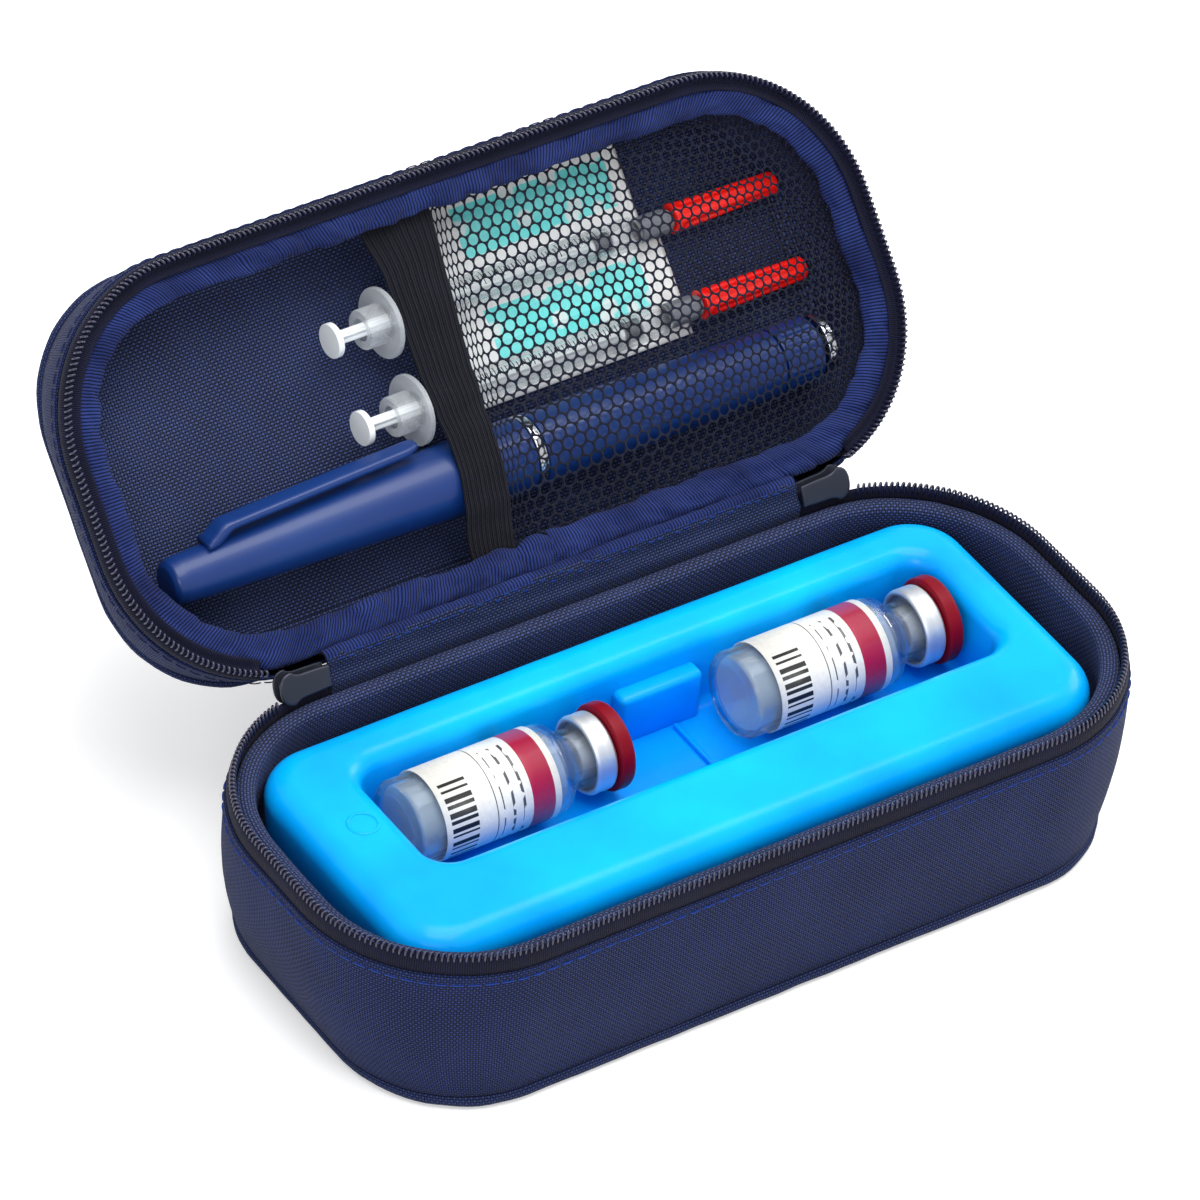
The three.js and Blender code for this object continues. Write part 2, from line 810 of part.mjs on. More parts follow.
// The cover rises from its hem, level all round, to its height over the contents
function coverAt(x, fromHinge) {
  const cornerX = caseLength / 2 - cornerRadius;
  const cornerY = caseWidth / 2 - cornerRadius;
  const pastX = Math.max(Math.abs(x) - cornerX, 0);
  const pastY = Math.max(Math.abs(fromHinge - lidCentre) - cornerY, 0);
  const fromHem = cornerRadius - coverEdgeInset - Math.hypot(pastX, pastY);
  return THREE.MathUtils.lerp(
    -coverEdgeDrop,
    coverHeight(fromHinge - lidCentre),
    THREE.MathUtils.smoothstep(fromHem, 0, coverEase),
  );
}

const coverNear = hingeSetback + coverEdgeInset;
const coverFar = hingeSetback + caseWidth - coverEdgeInset;

function bandRight(fromHinge) {
  return THREE.MathUtils.mapLinear(fromHinge, coverNear, coverFar, bandRightNear, bandRightFar);
}

// The band's left edge, pushed aside by the syringes' flanges between its ends
function bandLeftAt(fromHinge) {
  const share = THREE.MathUtils.mapLinear(fromHinge, coverNear, coverFar, 0, 1);
  const [bowed, straightening] = bandBowShares;
  const rise = THREE.MathUtils.smoothstep(share, 0, bowed);
  const fall = THREE.MathUtils.smoothstep(share, straightening, 1);
  return bandLeft + bandBow * rise * (1 - fall);
}

function elasticBand() {
  const rings = [];
  for (let step = 0; step <= bandSteps; step += 1) {
    const y = THREE.MathUtils.lerp(coverNear, coverFar, step / bandSteps);
    const z = coverAt(bandLeft, y);
    const [left, right] = [bandLeftAt(y), bandRight(y)];
    rings.push([
      new THREE.Vector3(left, y, z - elasticThickness / 2),
      new THREE.Vector3(right, y, z - elasticThickness / 2),
      new THREE.Vector3(right, y, z + elasticThickness / 2),
      new THREE.Vector3(left, y, z + elasticThickness / 2),
    ]);
  }
  return loft(rings);
}

// Net pocket: one sheet with a pattern of six-sided gaps, draped over the contents
function netPocket(half) {
  const angleOf = (point) => Math.atan2(point.y - lidCentre, point.x);
  const outline = half(coverEdgeInset, coverEdgeDrop)
    .filter((point) => point.x > bandRightFar + overrun)
    .sort((a, b) => angleOf(a) - angleOf(b))
    .map((point) => new THREE.Vector2(point.x, point.y));
  const near = new THREE.Vector2(bandRight(coverNear) + clearance, coverNear);
  const far = new THREE.Vector2(bandRight(coverFar) + clearance, coverFar);
  const border = finely([near, ...outline, far], netPitch);
  const gaps = [];
  const rowPitch = netPitch * Math.sqrt(3) / 2;
  const gapRadius = (netPitch - netStrut) / Math.sqrt(3);
  const rows = Math.ceil(caseWidth / rowPitch);
  const columns = Math.ceil(caseLength / netPitch);
  for (let row = 0; row < rows; row += 1) {
    for (let column = 0; column < columns; column += 1) {
      const x = bandRightNear + netPitch * (column + (row % 2) / 2);
      const y = coverNear + rowPitch * (row + 0.5);
      const gap = Array.from({ length: 6 }, (_, corner) => {
        const angle = quarterTurn + corner * halfTurn / 3;
        return new THREE.Vector2(x + gapRadius * Math.cos(angle), y + gapRadius * Math.sin(angle));
      });
      if (gap.every((corner) => insideBy(border, corner, netHem))) gaps.push(gap.reverse());
    }
  }
  return drapedSheet(border, gaps);
}

// The closed border with no stretch longer than a step
function finely(points, step) {
  const result = [];
  points.forEach((from, i) => {
    const to = points[(i + 1) % points.length];
    const parts = Math.max(1, Math.round(from.distanceTo(to) / step));
    for (let part = 0; part < parts; part += 1) {
      result.push(new THREE.Vector2().lerpVectors(from, to, part / parts));
    }
  });
  return result;
}

// Whether a point lies inside a convex counter-clockwise border by at least a margin
function insideBy(border, point, margin) {
  return border.every((from, i) => {
    const to = border[(i + 1) % border.length];
    const along = to.clone().sub(from);
    return along.cross(point.clone().sub(from)) >= margin * along.length();
  });
}

function drapedSheet(border, gaps) {
  const loops = [border, ...gaps];
  const flat = loops.flat();
  const faces = THREE.ShapeUtils.triangulateShape(border, gaps);
  const level = (offset) => flat.map((p) => new THREE.Vector3(p.x, p.y, coverAt(p.x, p.y) + offset));
  const points = [...level(-netThickness / 2), ...level(netThickness / 2)];
  const triangles = [];
  faces.forEach(([a, b, c]) => {
    triangles.push(a, c, b, a + flat.length, b + flat.length, c + flat.length);
  });
  let start = 0;
  loops.forEach((loop) => {
    for (let i = 0; i < loop.length; i += 1) {
      const here = start + i;
      const next = start + (i + 1) % loop.length;
      triangles.push(here, next, next + flat.length, here, next + flat.length, here + flat.length);
    }
    start += loop.length;
  });
  return body(points, triangles);
}

// Ice tray: a rounded block with a long recess, a bench at the recess's back and a rib on its floor
function iceTray(bottom) {
  const outer = (inset, z) => roundedOutline(
    trayLength - 2 * inset,
    trayWidth - 2 * inset,
    trayCornerRadius - inset,
    z,
  );
  const widest = trayTop - trayEdgeRound;
  const edge = [1, 2, 3].map((step) => {
    const angle = quarterTurn * step / 3;
    return outer(trayEdgeRound * (1 - Math.cos(angle)), widest + trayEdgeRound * Math.sin(angle));
  });
  const block = loft([
    outer(trayFootInset + trayFootRound, bottom),
    outer(trayFootInset, bottom + trayFootRound),
    outer(0, widest),
    ...edge,
  ]);
  const recess = (inset, z) => roundedOutline(
    recessLength - 2 * inset,
    recessWidth - 2 * inset,
    recessCornerRadius - inset,
    z,
    recessCentreY,
    recessCentreX,
  );
  const mouth = [0, 1, 2, 3].map((step) => {
    const angle = quarterTurn * step / 3;
    return recess(
      -recessEdgeRound * (1 - Math.cos(angle)),
      trayTop - recessEdgeRound + recessEdgeRound * Math.sin(angle),
    );
  });
  const hollow = loft([
    recess(recessDraft, recessFloor),
    ...mouth,
    recess(-recessEdgeRound, trayTop + overrun),
  ]);
  const back = recessCentreY + recessWidth / 2;
  const bench = box(
    [benchLength, benchDepth + overrun, benchTop - recessFloor + overrun],
    [benchCentreX, back - (benchDepth - overrun) / 2, (benchTop + recessFloor - overrun) / 2],
  );
  const rib = box(
    [floorRibWidth, recessWidth - benchDepth, floorRibHeight + overrun],
    [floorRibX, recessCentreY - benchDepth / 2, recessFloor + (floorRibHeight - overrun) / 2],
  );
  const socket = new THREE.CylinderGeometry(
    plugRadius + clearance,
    plugRadius + clearance,
    plugThickness + clearance + overrun,
    plugSides,
  );
  socket.rotateX(quarterTurn);
  socket.translate(plugX, plugY, trayTop - (plugThickness + clearance - overrun) / 2);
  return joined(cut(block, hollow, socket), bench, rib);
}

function trayPlug() {
  const plug = new THREE.CylinderGeometry(plugRadius, plugRadius, plugThickness, plugSides);
  plug.rotateX(quarterTurn);
  plug.translate(plugX, plugY, trayTop - plugThickness / 2);
  return plug;
}

const vialLength = vialBody + vialShoulder + vialNeckLength;

// A vial along +X from its foot at x = 0
function vialGlass() {
  const bore = vialNeckRadius - vialWall;
  return turned([
    [0, 0],
    [0, vialRadius - vialFootRound],
    [vialFootRound, vialRadius],
    [vialBody, vialRadius],
    [vialBody + vialShoulder, vialNeckRadius],
    [vialLength - vialLipHeight, vialNeckRadius],
    [vialLength - vialLipHeight, vialLipRadius],
    [vialLength, vialLipRadius],
    [vialLength, bore],
    [vialBody + vialShoulder, bore],
    [vialBody, vialRadius - vialWall],
    [vialFoot, vialRadius - vialWall],
    [vialFoot, 0],
  ], vialSides);
}

function vialLiquid() {
  const radius = vialRadius - vialWall - clearance;
  return turned([
    [vialFoot + clearance, 0],
    [vialFoot + clearance, radius],
    [vialBody - clearance, radius],
    [vialBody - clearance, 0],
  ], vialSides);
}

function vialLabel() {
  const inner = vialRadius + clearance;
  const outer = inner + labelThickness;
  return turned([
    [labelStart, inner],
    [labelStart, outer],
    [labelStart + labelLength, outer],
    [labelStart + labelLength, inner],
    [labelStart, inner],
  ], 2 * vialSides);
}

function vialStopper() {
  const plug = vialNeckRadius - vialWall - clearance;
  return turned([
    [vialLength - stopperPlug, 0],
    [vialLength - stopperPlug, plug],
    [vialLength + clearance, plug],
    [vialLength + clearance, vialLipRadius],
    [vialLength + clearance + stopperHead, vialLipRadius],
    [vialLength + clearance + stopperHead, 0],
  ], vialSides);
}

const crimpTop = vialLength + clearance + stopperHead + clearance + crimpWall;

function crimpRing() {
  const inner = crimpRadius - crimpWall;
  return turned([
    [crimpTop - crimpLength, inner],
    [crimpTop - crimpLength, crimpRadius],
    [crimpTop, crimpRadius],
    [crimpTop, crimpWindow],
    [crimpTop - crimpWall, crimpWindow],
    [crimpTop - crimpWall, inner],
    [crimpTop - crimpLength, inner],
  ], vialSides);
}

function flipCap() {
  const bottom = crimpTop + clearance;
  return turned([
    [bottom, 0],
    [bottom, flipCapRadius],
    [bottom + flipCapLength - flipCapRound, flipCapRadius],
    [bottom + flipCapLength, flipCapRadius - flipCapRound],
    [bottom + flipCapLength, 0],
  ], vialSides);
}

function addVial(parent, side, x) {
  const vial = new THREE.Group();
  vial.position.set(x, vialY, recessFloor + clearance + vialRadius + clearance + labelThickness);
  parent.add(vial);
  piece(vial, `vial_${side}_glass`, vialGlass(), material(colours.glass, 0.05));
  piece(vial, `vial_${side}_liquid`, vialLiquid(), material(colours.liquid, 0.05));
  piece(vial, `vial_${side}_label`, vialLabel(), material(colours.label, 0.5));
  piece(vial, `vial_${side}_stopper`, vialStopper(), material(colours.rubber, 0.8));
  piece(vial, `vial_${side}_crimp_ring`, crimpRing(), material(colours.aluminium, 0.3, 1));
  piece(vial, `vial_${side}_flip_cap`, flipCap(), material(colours.burgundy, 0.35));
}

// Pen along +X from its capped tip at x = 0. The cap tapers to the tip and is open at its other end.
function penCapRadiusAt(along) {
  const share = Math.min(along / penCapTaper, 1);
  return THREE.MathUtils.lerp(penTipRadius, penCapRadius, share);
}

function penCap() {
  const bore = penHolderRadius + clearance;
  const boreStart = penCapLength - penHolderLength - clearance;
  return turned([
    [0, 0],
    [0, penTipRadius - penTipChamfer],
    [penTipChamfer, penCapRadiusAt(penTipChamfer)],
    [penCapTaper, penCapRadius],
    [penCapLength, penCapRadius],
    [penCapLength, bore],
    [boreStart, bore],
    [boreStart, 0],
  ], penSides);
}

// Clip: a bridge that rises from the cap at its root and runs along it to a free, upturned tip
function penClip() {
  const top = (along) => penCapRadiusAt(along) + clipLift + clipThickness;
  const tip = clipRoot + clipLength;
  const shape = new THREE.Shape();
  const foot = penCapRadiusAt(clipRoot) + clearance;
  shape.moveTo(clipRoot, foot);
  shape.lineTo(clipRoot + clipThickness + clipLift, foot + clearance);
  shape.lineTo(clipRoot + clipThickness + clipLift, top(clipRoot) - clipThickness);
  shape.lineTo(tip - clipRise, top(tip) - clipThickness);
  shape.lineTo(tip, top(tip) - clipThickness + clipLift / 3);
  shape.lineTo(tip, top(tip));
  shape.lineTo(clipRoot + clipRise, top(clipRoot));
  shape.quadraticCurveTo(clipRoot, top(clipRoot), clipRoot, foot);
  const geometry = new THREE.ExtrudeGeometry(shape, { depth: clipWidth, bevelEnabled: false, curveSegments: 4 });
  geometry.translate(0, 0, -clipWidth / 2);
  geometry.rotateX(quarterTurn);
  return geometry;
}

function penRing() {
  const start = penCapLength + clearance;
  return turned([
    [start, penHolderRadius + clearance],
    [start, penRingRadius],
    [start + penRingLength, penRingRadius],
    [start + penRingLength, penHolderRadius + clearance],
    [start, penHolderRadius + clearance],
  ], penSides);
}

// Barrel with the cartridge holder that stands in the cap
function penBody() {
  const holderStart = penCapLength - penHolderLength;
  return turned([
    [holderStart, 0],
    [holderStart, penHolderRadius],
    [penBodyStart, penHolderRadius],
    [penBodyStart, penBodyRadius],
    [penKnobStart - clearance, penBodyEndRadius],
    [penKnobStart - clearance, 0],
  ], penSides);
}

// A ring of points round X, its radius dented between the flutes
function flutedRing(along, radius, flutes, dent) {
  return Array.from({ length: 2 * flutes }, (_, i) => {
    const angle = halfTurn * i / flutes;
    const reach = radius - (i % 2) * dent;
    return new THREE.Vector3(along, reach * Math.cos(angle), reach * Math.sin(angle));
  });
}

function doseKnob() {
  const bore = penButtonStemRadius + clearance;
  const depth = penButtonStem + penButtonTravel + clearance;
  return loft([
    flutedRing(penKnobEnd - depth, bore, penKnobFlutes, 0),
    flutedRing(penKnobEnd, bore, penKnobFlutes, 0),
    flutedRing(penKnobEnd, penKnobRadius, penKnobFlutes, penKnobFlute),
    flutedRing(penKnobStart, penKnobRadius, penKnobFlutes, penKnobFlute),
  ]);
}

function doseButton() {
  return turned([
    [penKnobEnd - penButtonStem + penButtonTravel, 0],
    [penKnobEnd - penButtonStem + penButtonTravel, penButtonStemRadius],
    [penButtonStart, penButtonStemRadius],
    [penButtonStart, penButtonRadius],
    [penButtonStart + penButtonLength, penButtonRadius],
    [penButtonStart + penButtonLength, 0],
  ], penSides);
}

function addPen(parent, floor) {
  const pen = new THREE.Group();
  pen.position.set(penLeft, penAxis, floor + clearance + penCapRadius);
  parent.add(pen);
  piece(pen, 'pen_cap', penCap(), material(colours.pen, 0.35));
  const clip = piece(pen, 'pen_clip', penClip(), material(colours.pen, 0.35));
  clip.rotation.x = -THREE.MathUtils.degToRad(clipTurnDegrees);
  piece(pen, 'pen_ring', penRing(), material(colours.silver, 0.25, 1));
  piece(pen, 'pen_body', penBody(), material(colours.pen, 0.35));
  piece(pen, 'pen_dose_knob', doseKnob(), material(colours.pen, 0.4));
  piece(pen, 'pen_dose_button', doseButton(), material(colours.silver, 0.3, 1));
}

// Syringe along +X from its flange at x = 0: collar, round flange, tube and nozzle, bored for the plunger
function syringeBarrel() {
  return turned([
    [barrelLength - barrelEndWall, 0],
    [barrelLength - barrelEndWall, barrelBore],
    [-collarLength, barrelBore],
    [-collarLength, collarRadius],
    [0, collarRadius],
    [0, flangeRadius],
    [flangeThickness, flangeRadius],
    [flangeThickness, barrelRadius],
    [barrelLength, barrelRadius],
    [barrelLength, nozzleRadius],
    [barrelLength + nozzleLength, nozzleRadius],
    [barrelLength + nozzleLength, 0],
  ], syringeSides);
}

// The seal meets the barrel's end wall as the thumb disc meets the collar
const plungerPush = thumbStandoff - collarLength - clearance;
const sealStart = barrelLength - barrelEndWall - clearance - plungerPush - sealLength;

function syringePlunger() {
  return turned([
    [-thumbStandoff - thumbThickness, 0],
    [-thumbStandoff - thumbThickness, thumbRadius],
    [-thumbStandoff, thumbRadius],
    [-thumbStandoff, rodRadius],
    [sealStart - clearance, rodRadius],
    [sealStart - clearance, 0],
  ], syringeSides);
}

function plungerSeal() {
  return turned([
    [sealStart, 0],
    [sealStart, sealRadius],
    [sealStart + sealLength / 3, sealWaist],
    [sealStart + 2 * sealLength / 3, sealWaist],
    [sealStart + sealLength, sealRadius],
    [sealStart + sealLength, 0],
  ], syringeSides);
}

function needleHub() {
  const socket = nozzleRadius + clearance;
  return turned([
    [hubStart + nozzleLength, 0],
    [hubStart + nozzleLength, socket],
    [hubStart, socket],
    [hubStart, hubRadius],
    [hubEnd, hubRadius],
    [hubEnd, needleRadius],
    [hubEnd + needleLength, needleRadius],
    [hubEnd + needleLength, 0],
  ], syringeSides);
}

function needleCap() {
  const start = hubEnd + clearance;
  return loft([
    flutedRing(needleCapEnd - needleCapWall, needleCapBore, needleCapFlutes, 0),
    flutedRing(start, needleCapBore, needleCapFlutes, 0),
    flutedRing(start, needleCapRadius, needleCapFlutes, needleCapFlute),
    flutedRing(needleCapEnd, needleCapTipRadius, needleCapFlutes, needleCapFlute),
  ]);
}

// A syringe lies on the rim of its flange and on the tip of its needle cap
function addSyringe(parent, side, fromCentre, floor) {
  const syringe = new THREE.Group();
  syringe.position.set(flangeX, lidCentre + fromCentre, floor + clearance + flangeRadius);
  syringe.rotation.y = Math.asin((flangeRadius - needleCapTipRadius) / needleCapEnd);
  parent.add(syringe);
  piece(syringe, `syringe_${side}_barrel`, syringeBarrel(), material(colours.clear, 0.1));
  piece(syringe, `syringe_${side}_plunger`, syringePlunger(), material(colours.white, 0.4));
  piece(syringe, `syringe_${side}_seal`, plungerSeal(), material(colours.elastic, 0.7));
  piece(syringe, `syringe_${side}_needle_hub`, needleHub(), material(colours.rubber, 0.4));
  piece(syringe, `syringe_${side}_needle_cap`, needleCap(), material(colours.red, 0.3));
}

// Sachet: a flat seam all round a low pillow
function sachet({ left, length, near, width }, floor) {
  const at = (inset, z) => [
    new THREE.Vector3(left + inset, near + inset, z),
    new THREE.Vector3(left + length - inset, near + inset, z),
    new THREE.Vector3(left + length - inset, near + width - inset, z),
    new THREE.Vector3(left + inset, near + width - inset, z),
  ];
  const bottom = floor + clearance;
  return loft([
    at(0, bottom),
    at(0, bottom + sachetSeamThickness),
    at(sachetSeam, bottom + sachetSeamThickness),
    at(2 * sachetSeam, bottom + sachetThickness),
  ]);
}

const insulinCase = new THREE.Group();
const oxford = material(colours.oxford, 0.85);
const foam = material(colours.foam, 0.9);
const zip = material(colours.zip, 0.5);
const gunmetal = material(colours.gunmetal, 0.35, 0.8);

// Base, drawn from its zip line down
const base = new THREE.Group();
base.position.z = baseHeight;
insulinCase.add(base);
const baseHalf = caseHalf(baseHeight, baseBulgePower, 0, 1);
const baseFoamTop = lipDrop + lipThickness + clearance;
piece(base, 'base_bottom_panel', sewnPanel(baseHalf, baseHeight), oxford);
piece(base, 'base_piping', piping(baseHalf, baseHeight), oxford);
piece(base, 'base_side_band', sideBand(baseHalf, baseHeight), oxford);
piece(base, 'base_foam_liner', foamCup(baseHalf, baseHeight, baseFoamTop, baseFoamFloor), foam);
piece(base, 'base_lining', liningCup(baseHalf, baseHeight, lipDrop, baseFoamFloor, foamOuter), oxford);
piece(base, 'base_zip_tape', zipTape(baseHalf), zip);
piece(base, 'base_zip_chain', zipChain(baseHalf, false), zip);

// Hinge fabric, drawn from the hinge axis
const hinge = new THREE.Group();
hinge.position.set(0, hingeY, hingeZ);
insulinCase.add(hinge);
piece(hinge, 'hinge_panel', hingePanel(), oxford);

for (const [side, turn] of [['left', 1], ['right', -1]]) {
  const slider = new THREE.Group();
  slider.position.set(-turn * sliderCentre, caseWidth / 2, baseHeight + sliderRise);
  slider.scale.x = turn;
  insulinCase.add(slider);
  piece(slider, `slider_${side}`, sliderBody(), gunmetal);
  piece(slider, `pull_tab_${side}`, pullTab(), gunmetal);
}

// Lid, drawn from its zip line down and turned open about the hinge axis
const lid = new THREE.Group();
lid.position.copy(hinge.position);
lid.rotation.x = halfTurn - THREE.MathUtils.degToRad(openAngleDegrees);
insulinCase.add(lid);
const lidHalf = caseHalf(lidDepth, lidBulgePower, lidCentre, -1);
const lidFoamTop = ringThickness - ringRise + clearance;
piece(lid, 'lid_top_panel', sewnPanel(lidHalf, lidDepth), oxford);
piece(lid, 'lid_piping', piping(lidHalf, lidDepth), oxford);
piece(lid, 'lid_side_band', sideBand(lidHalf, lidDepth), oxford);
piece(lid, 'lid_foam_liner', foamCup(lidHalf, lidDepth, lidFoamTop, lidFoamFloor), foam);
piece(lid, 'lid_lining', liningCup(lidHalf, lidDepth, lidFoamTop, lidFoamFloor), oxford);
piece(lid, 'lid_binding_ring', bindingRing(lidHalf), material(colours.binding, 0.8));
piece(lid, 'lid_hinge_strip', hingeStrip(lidHalf), oxford);
piece(lid, 'lid_zip_tape', zipTape(lidHalf), zip);
piece(lid, 'lid_zip_chain', zipChain(lidHalf, true), zip);
piece(lid, 'elastic_band', elasticBand(), material(colours.elastic, 0.9));
piece(lid, 'net_pocket', netPocket(lidHalf), material(colours.net, 0.8));

const lidFloor = liningFloor(lidDepth, lidFoamFloor);
addPen(lid, lidFloor);
for (const [side, fromCentre] of Object.entries(syringesFromCentre)) {
  addSyringe(lid, side, fromCentre, lidFloor);
}
for (const [side, size] of Object.entries(sachets)) {
  piece(lid, `sachet_${side}`, sachet(size, lidFloor), material(colours.aqua, 0.5));
}

// Ice tray in the base, with the vials on its recess floor
const trayBottom = baseHeight + liningFloor(baseHeight, baseFoamFloor) + clearance;
piece(insulinCase, 'ice_tray', iceTray(trayBottom), material(colours.tray, 0.3));
piece(insulinCase, 'tray_plug', trayPlug(), material(colours.tray, 0.35));
addVial(insulinCase, 'left', vialLeftX);
addVial(insulinCase, 'right', vialRightX);

export default insulinCase;
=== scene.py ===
"""Insulin cooling case: fabric, zips, net, tray, vials, pen, syringes and sachets round the frame.

Lengths written with * MM are millimetres; everything handed to Blender is in metres, in the frame's
own axes: X along the case, Y towards the hinge, Z up. The lid's pieces are drawn in the lid's own
frame (x along the case, y away from the hinge, z out of the lid's opening) and turned into place.
"""

import json
import math
from bisect import bisect_right

import bmesh
import bpy
from bpy.props import FloatProperty, FloatVectorProperty, PointerProperty
from mathutils import Matrix, Vector, noise

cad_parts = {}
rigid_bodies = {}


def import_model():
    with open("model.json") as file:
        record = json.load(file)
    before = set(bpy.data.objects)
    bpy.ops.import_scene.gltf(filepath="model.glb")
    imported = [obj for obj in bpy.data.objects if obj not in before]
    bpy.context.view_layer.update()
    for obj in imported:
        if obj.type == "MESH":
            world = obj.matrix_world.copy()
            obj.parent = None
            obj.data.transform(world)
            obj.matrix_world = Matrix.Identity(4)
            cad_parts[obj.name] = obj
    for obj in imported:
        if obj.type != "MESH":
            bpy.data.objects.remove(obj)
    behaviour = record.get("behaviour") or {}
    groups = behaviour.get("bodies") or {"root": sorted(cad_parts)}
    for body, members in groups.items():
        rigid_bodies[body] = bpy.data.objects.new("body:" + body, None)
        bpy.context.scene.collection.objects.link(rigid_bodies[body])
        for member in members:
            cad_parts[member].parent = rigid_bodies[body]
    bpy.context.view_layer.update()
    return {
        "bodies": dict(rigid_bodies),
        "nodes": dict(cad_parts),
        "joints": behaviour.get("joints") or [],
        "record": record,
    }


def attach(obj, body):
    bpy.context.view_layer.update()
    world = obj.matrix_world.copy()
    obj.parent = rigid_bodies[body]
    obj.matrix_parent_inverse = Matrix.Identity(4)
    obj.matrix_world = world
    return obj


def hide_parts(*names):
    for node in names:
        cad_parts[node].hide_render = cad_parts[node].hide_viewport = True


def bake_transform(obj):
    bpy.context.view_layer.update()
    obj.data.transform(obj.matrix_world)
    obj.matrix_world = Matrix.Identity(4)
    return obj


bl_info = {
    "name": "Insulin Cooling Case",
    "version": (1, 0, 0),
    "blender": (4, 5, 0),
    "location": "3D View > Sidebar > Cooling Case",
    "description": "Builds the fabric case, its ice tray and its contents around the packed frame",
    "category": "Add Mesh",
}

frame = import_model()

MM = 0.001

# Case, measured along the middle of the zip, as in the frame
CASE_LENGTH = 200 * MM
CASE_WIDTH = 90 * MM
CORNER_RADIUS = 35.5 * MM
PANEL_LENGTH = 182 * MM
PANEL_WIDTH = 85.6 * MM
PANEL_CORNER_RADIUS = 25.4 * MM
BASE_HEIGHT = 41.6 * MM
LID_DEPTH = 24 * MM
BASE_BULGE = 2.6
LID_BULGE = 1.4
HINGE_SETBACK = 1.6 * MM
ZIP_GAP = 4.8 * MM
LID_LEAN = math.radians(180 - 133.7)
HINGE_LENGTH = 119 * MM
SLIDER_CENTRE = 66.6 * MM
SLIDER_HEIGHT = 7.4 * MM
SLIDER_RISE = 3.3 * MM
SLIDER_OUT = 0.9 * MM
SLIDER_LEAN = math.radians(25)
SLIDER_LENGTH = 12.4 * MM
LUG_DROP = 5 * MM

# Layers of the wall: insets from the zip line, outwards negative, and drops below it
FABRIC_OUTSIDE = -1.7 * MM
FABRIC_INSIDE = -0.75 * MM
FOAM_OUTSIDE = 0.7 * MM
LINING_INSIDE = 5.1 * MM
PIPING_RADIUS = 1.5 * MM
PIPING_INSET = -1.2 * MM
TAPE_SHOWING = 3 * MM
TAPE_TAILS = {"base": 59 * MM, "lid": 73.4 * MM}
TEETH_START = 73.9 * MM
WALL_FULLNESS = 0.35 * MM
PIPING_ROOM = 3.4 * MM
BASE_FLOOR_DROP = 35.5 * MM
LID_FLOOR_DROP = 18.4 * MM

# Contents
TRAY_LENGTH = 176 * MM
TRAY_WIDTH = 70 * MM
TRAY_CORNER = 13 * MM
TRAY_BOTTOM = 6.4 * MM
TRAY_TOP = 41 * MM
RECESS_LENGTH = 145 * MM
RECESS_WIDTH = 33.6 * MM
RECESS_CENTRE = Vector((3.5 * MM, 5.2 * MM, 0))
RECESS_CORNER = 6 * MM
RECESS_FLOOR = 21.8 * MM
BENCH_TOP = 34 * MM
PLUG_PLACE = (-76.5 * MM, 5.8 * MM)
VIAL_RADIUS = 9.9 * MM
VIAL_Y = 9.4 * MM
VIAL_FEET = {"left": -65.6 * MM, "right": 19.2 * MM}
PEN_LEFT = -84.5 * MM
PEN_AXIS = 27.4 * MM
PEN_RADIUS = 8.3 * MM
SYRINGE_AXES = {"upper": 63.9 * MM, "lower": 44.2 * MM}
SYRINGE_FLANGE_X = -16.8 * MM
FLANGE_RADIUS = 8 * MM
NEEDLE_CAP_TIP_RADIUS = 2.7 * MM
NEEDLE_CAP_END = 105 * MM
SACHETS = {
    "upper": (-3 * MM, 61.8 * MM, 58.0 * MM, 22.6 * MM),
    "lower": (-3 * MM, 38.8 * MM, 61.4 * MM, 22.4 * MM),
}
CLEARANCE = 0.3 * MM

# Cover over the lid's contents: distance from the hinge and height under the zip line
COVER_EDGE_DROP = 4.2 * MM
COVER_INSET = 5.7 * MM
COVER_NEAR = HINGE_SETBACK + COVER_INSET
COVER_FAR = HINGE_SETBACK + CASE_WIDTH - COVER_INSET
COVER_LINE = [
    (0, -4.2), (9.4, -4.2), (15, -2.9), (21, -1.1), (27.6, -0.45), (34.5, -1.1),
    (42, -2.7), (50, -3.8), (60, -4.3), (70, -4.4), (79, -4.3), (92, -4.2),
]
BAND_LEFT = -17.5 * MM
BAND_BOW = 2.8 * MM
BAND_RIGHT_NEAR = -6.6 * MM
BAND_RIGHT_FAR = 1 * MM
NET_HOLE = 0.442
NET_CORD = 0.2 * MM

# Photograph's camera, in metres and degrees
CAMERA_PLACE = Vector((-0.93425, -1.20930, 1.38272))
CAMERA_AZIMUTH = math.radians(-36.94)
CAMERA_ELEVATION = math.radians(40.61)
CAMERA_ROLL = math.radians(5.35)
CAMERA_LENS_MM = 289.1

BASE_PLACE = Matrix.Translation((0, 0, BASE_HEIGHT))
LID_PLACE = (
    Matrix.Translation((0, CASE_WIDTH / 2 + HINGE_SETBACK, BASE_HEIGHT + ZIP_GAP))
    @ Matrix.Rotation(LID_LEAN, 4, "X")
)
LID_CENTRE = HINGE_SETBACK + CASE_WIDTH / 2
LID_FLOOR = -LID_FLOOR_DROP


# Mesh making

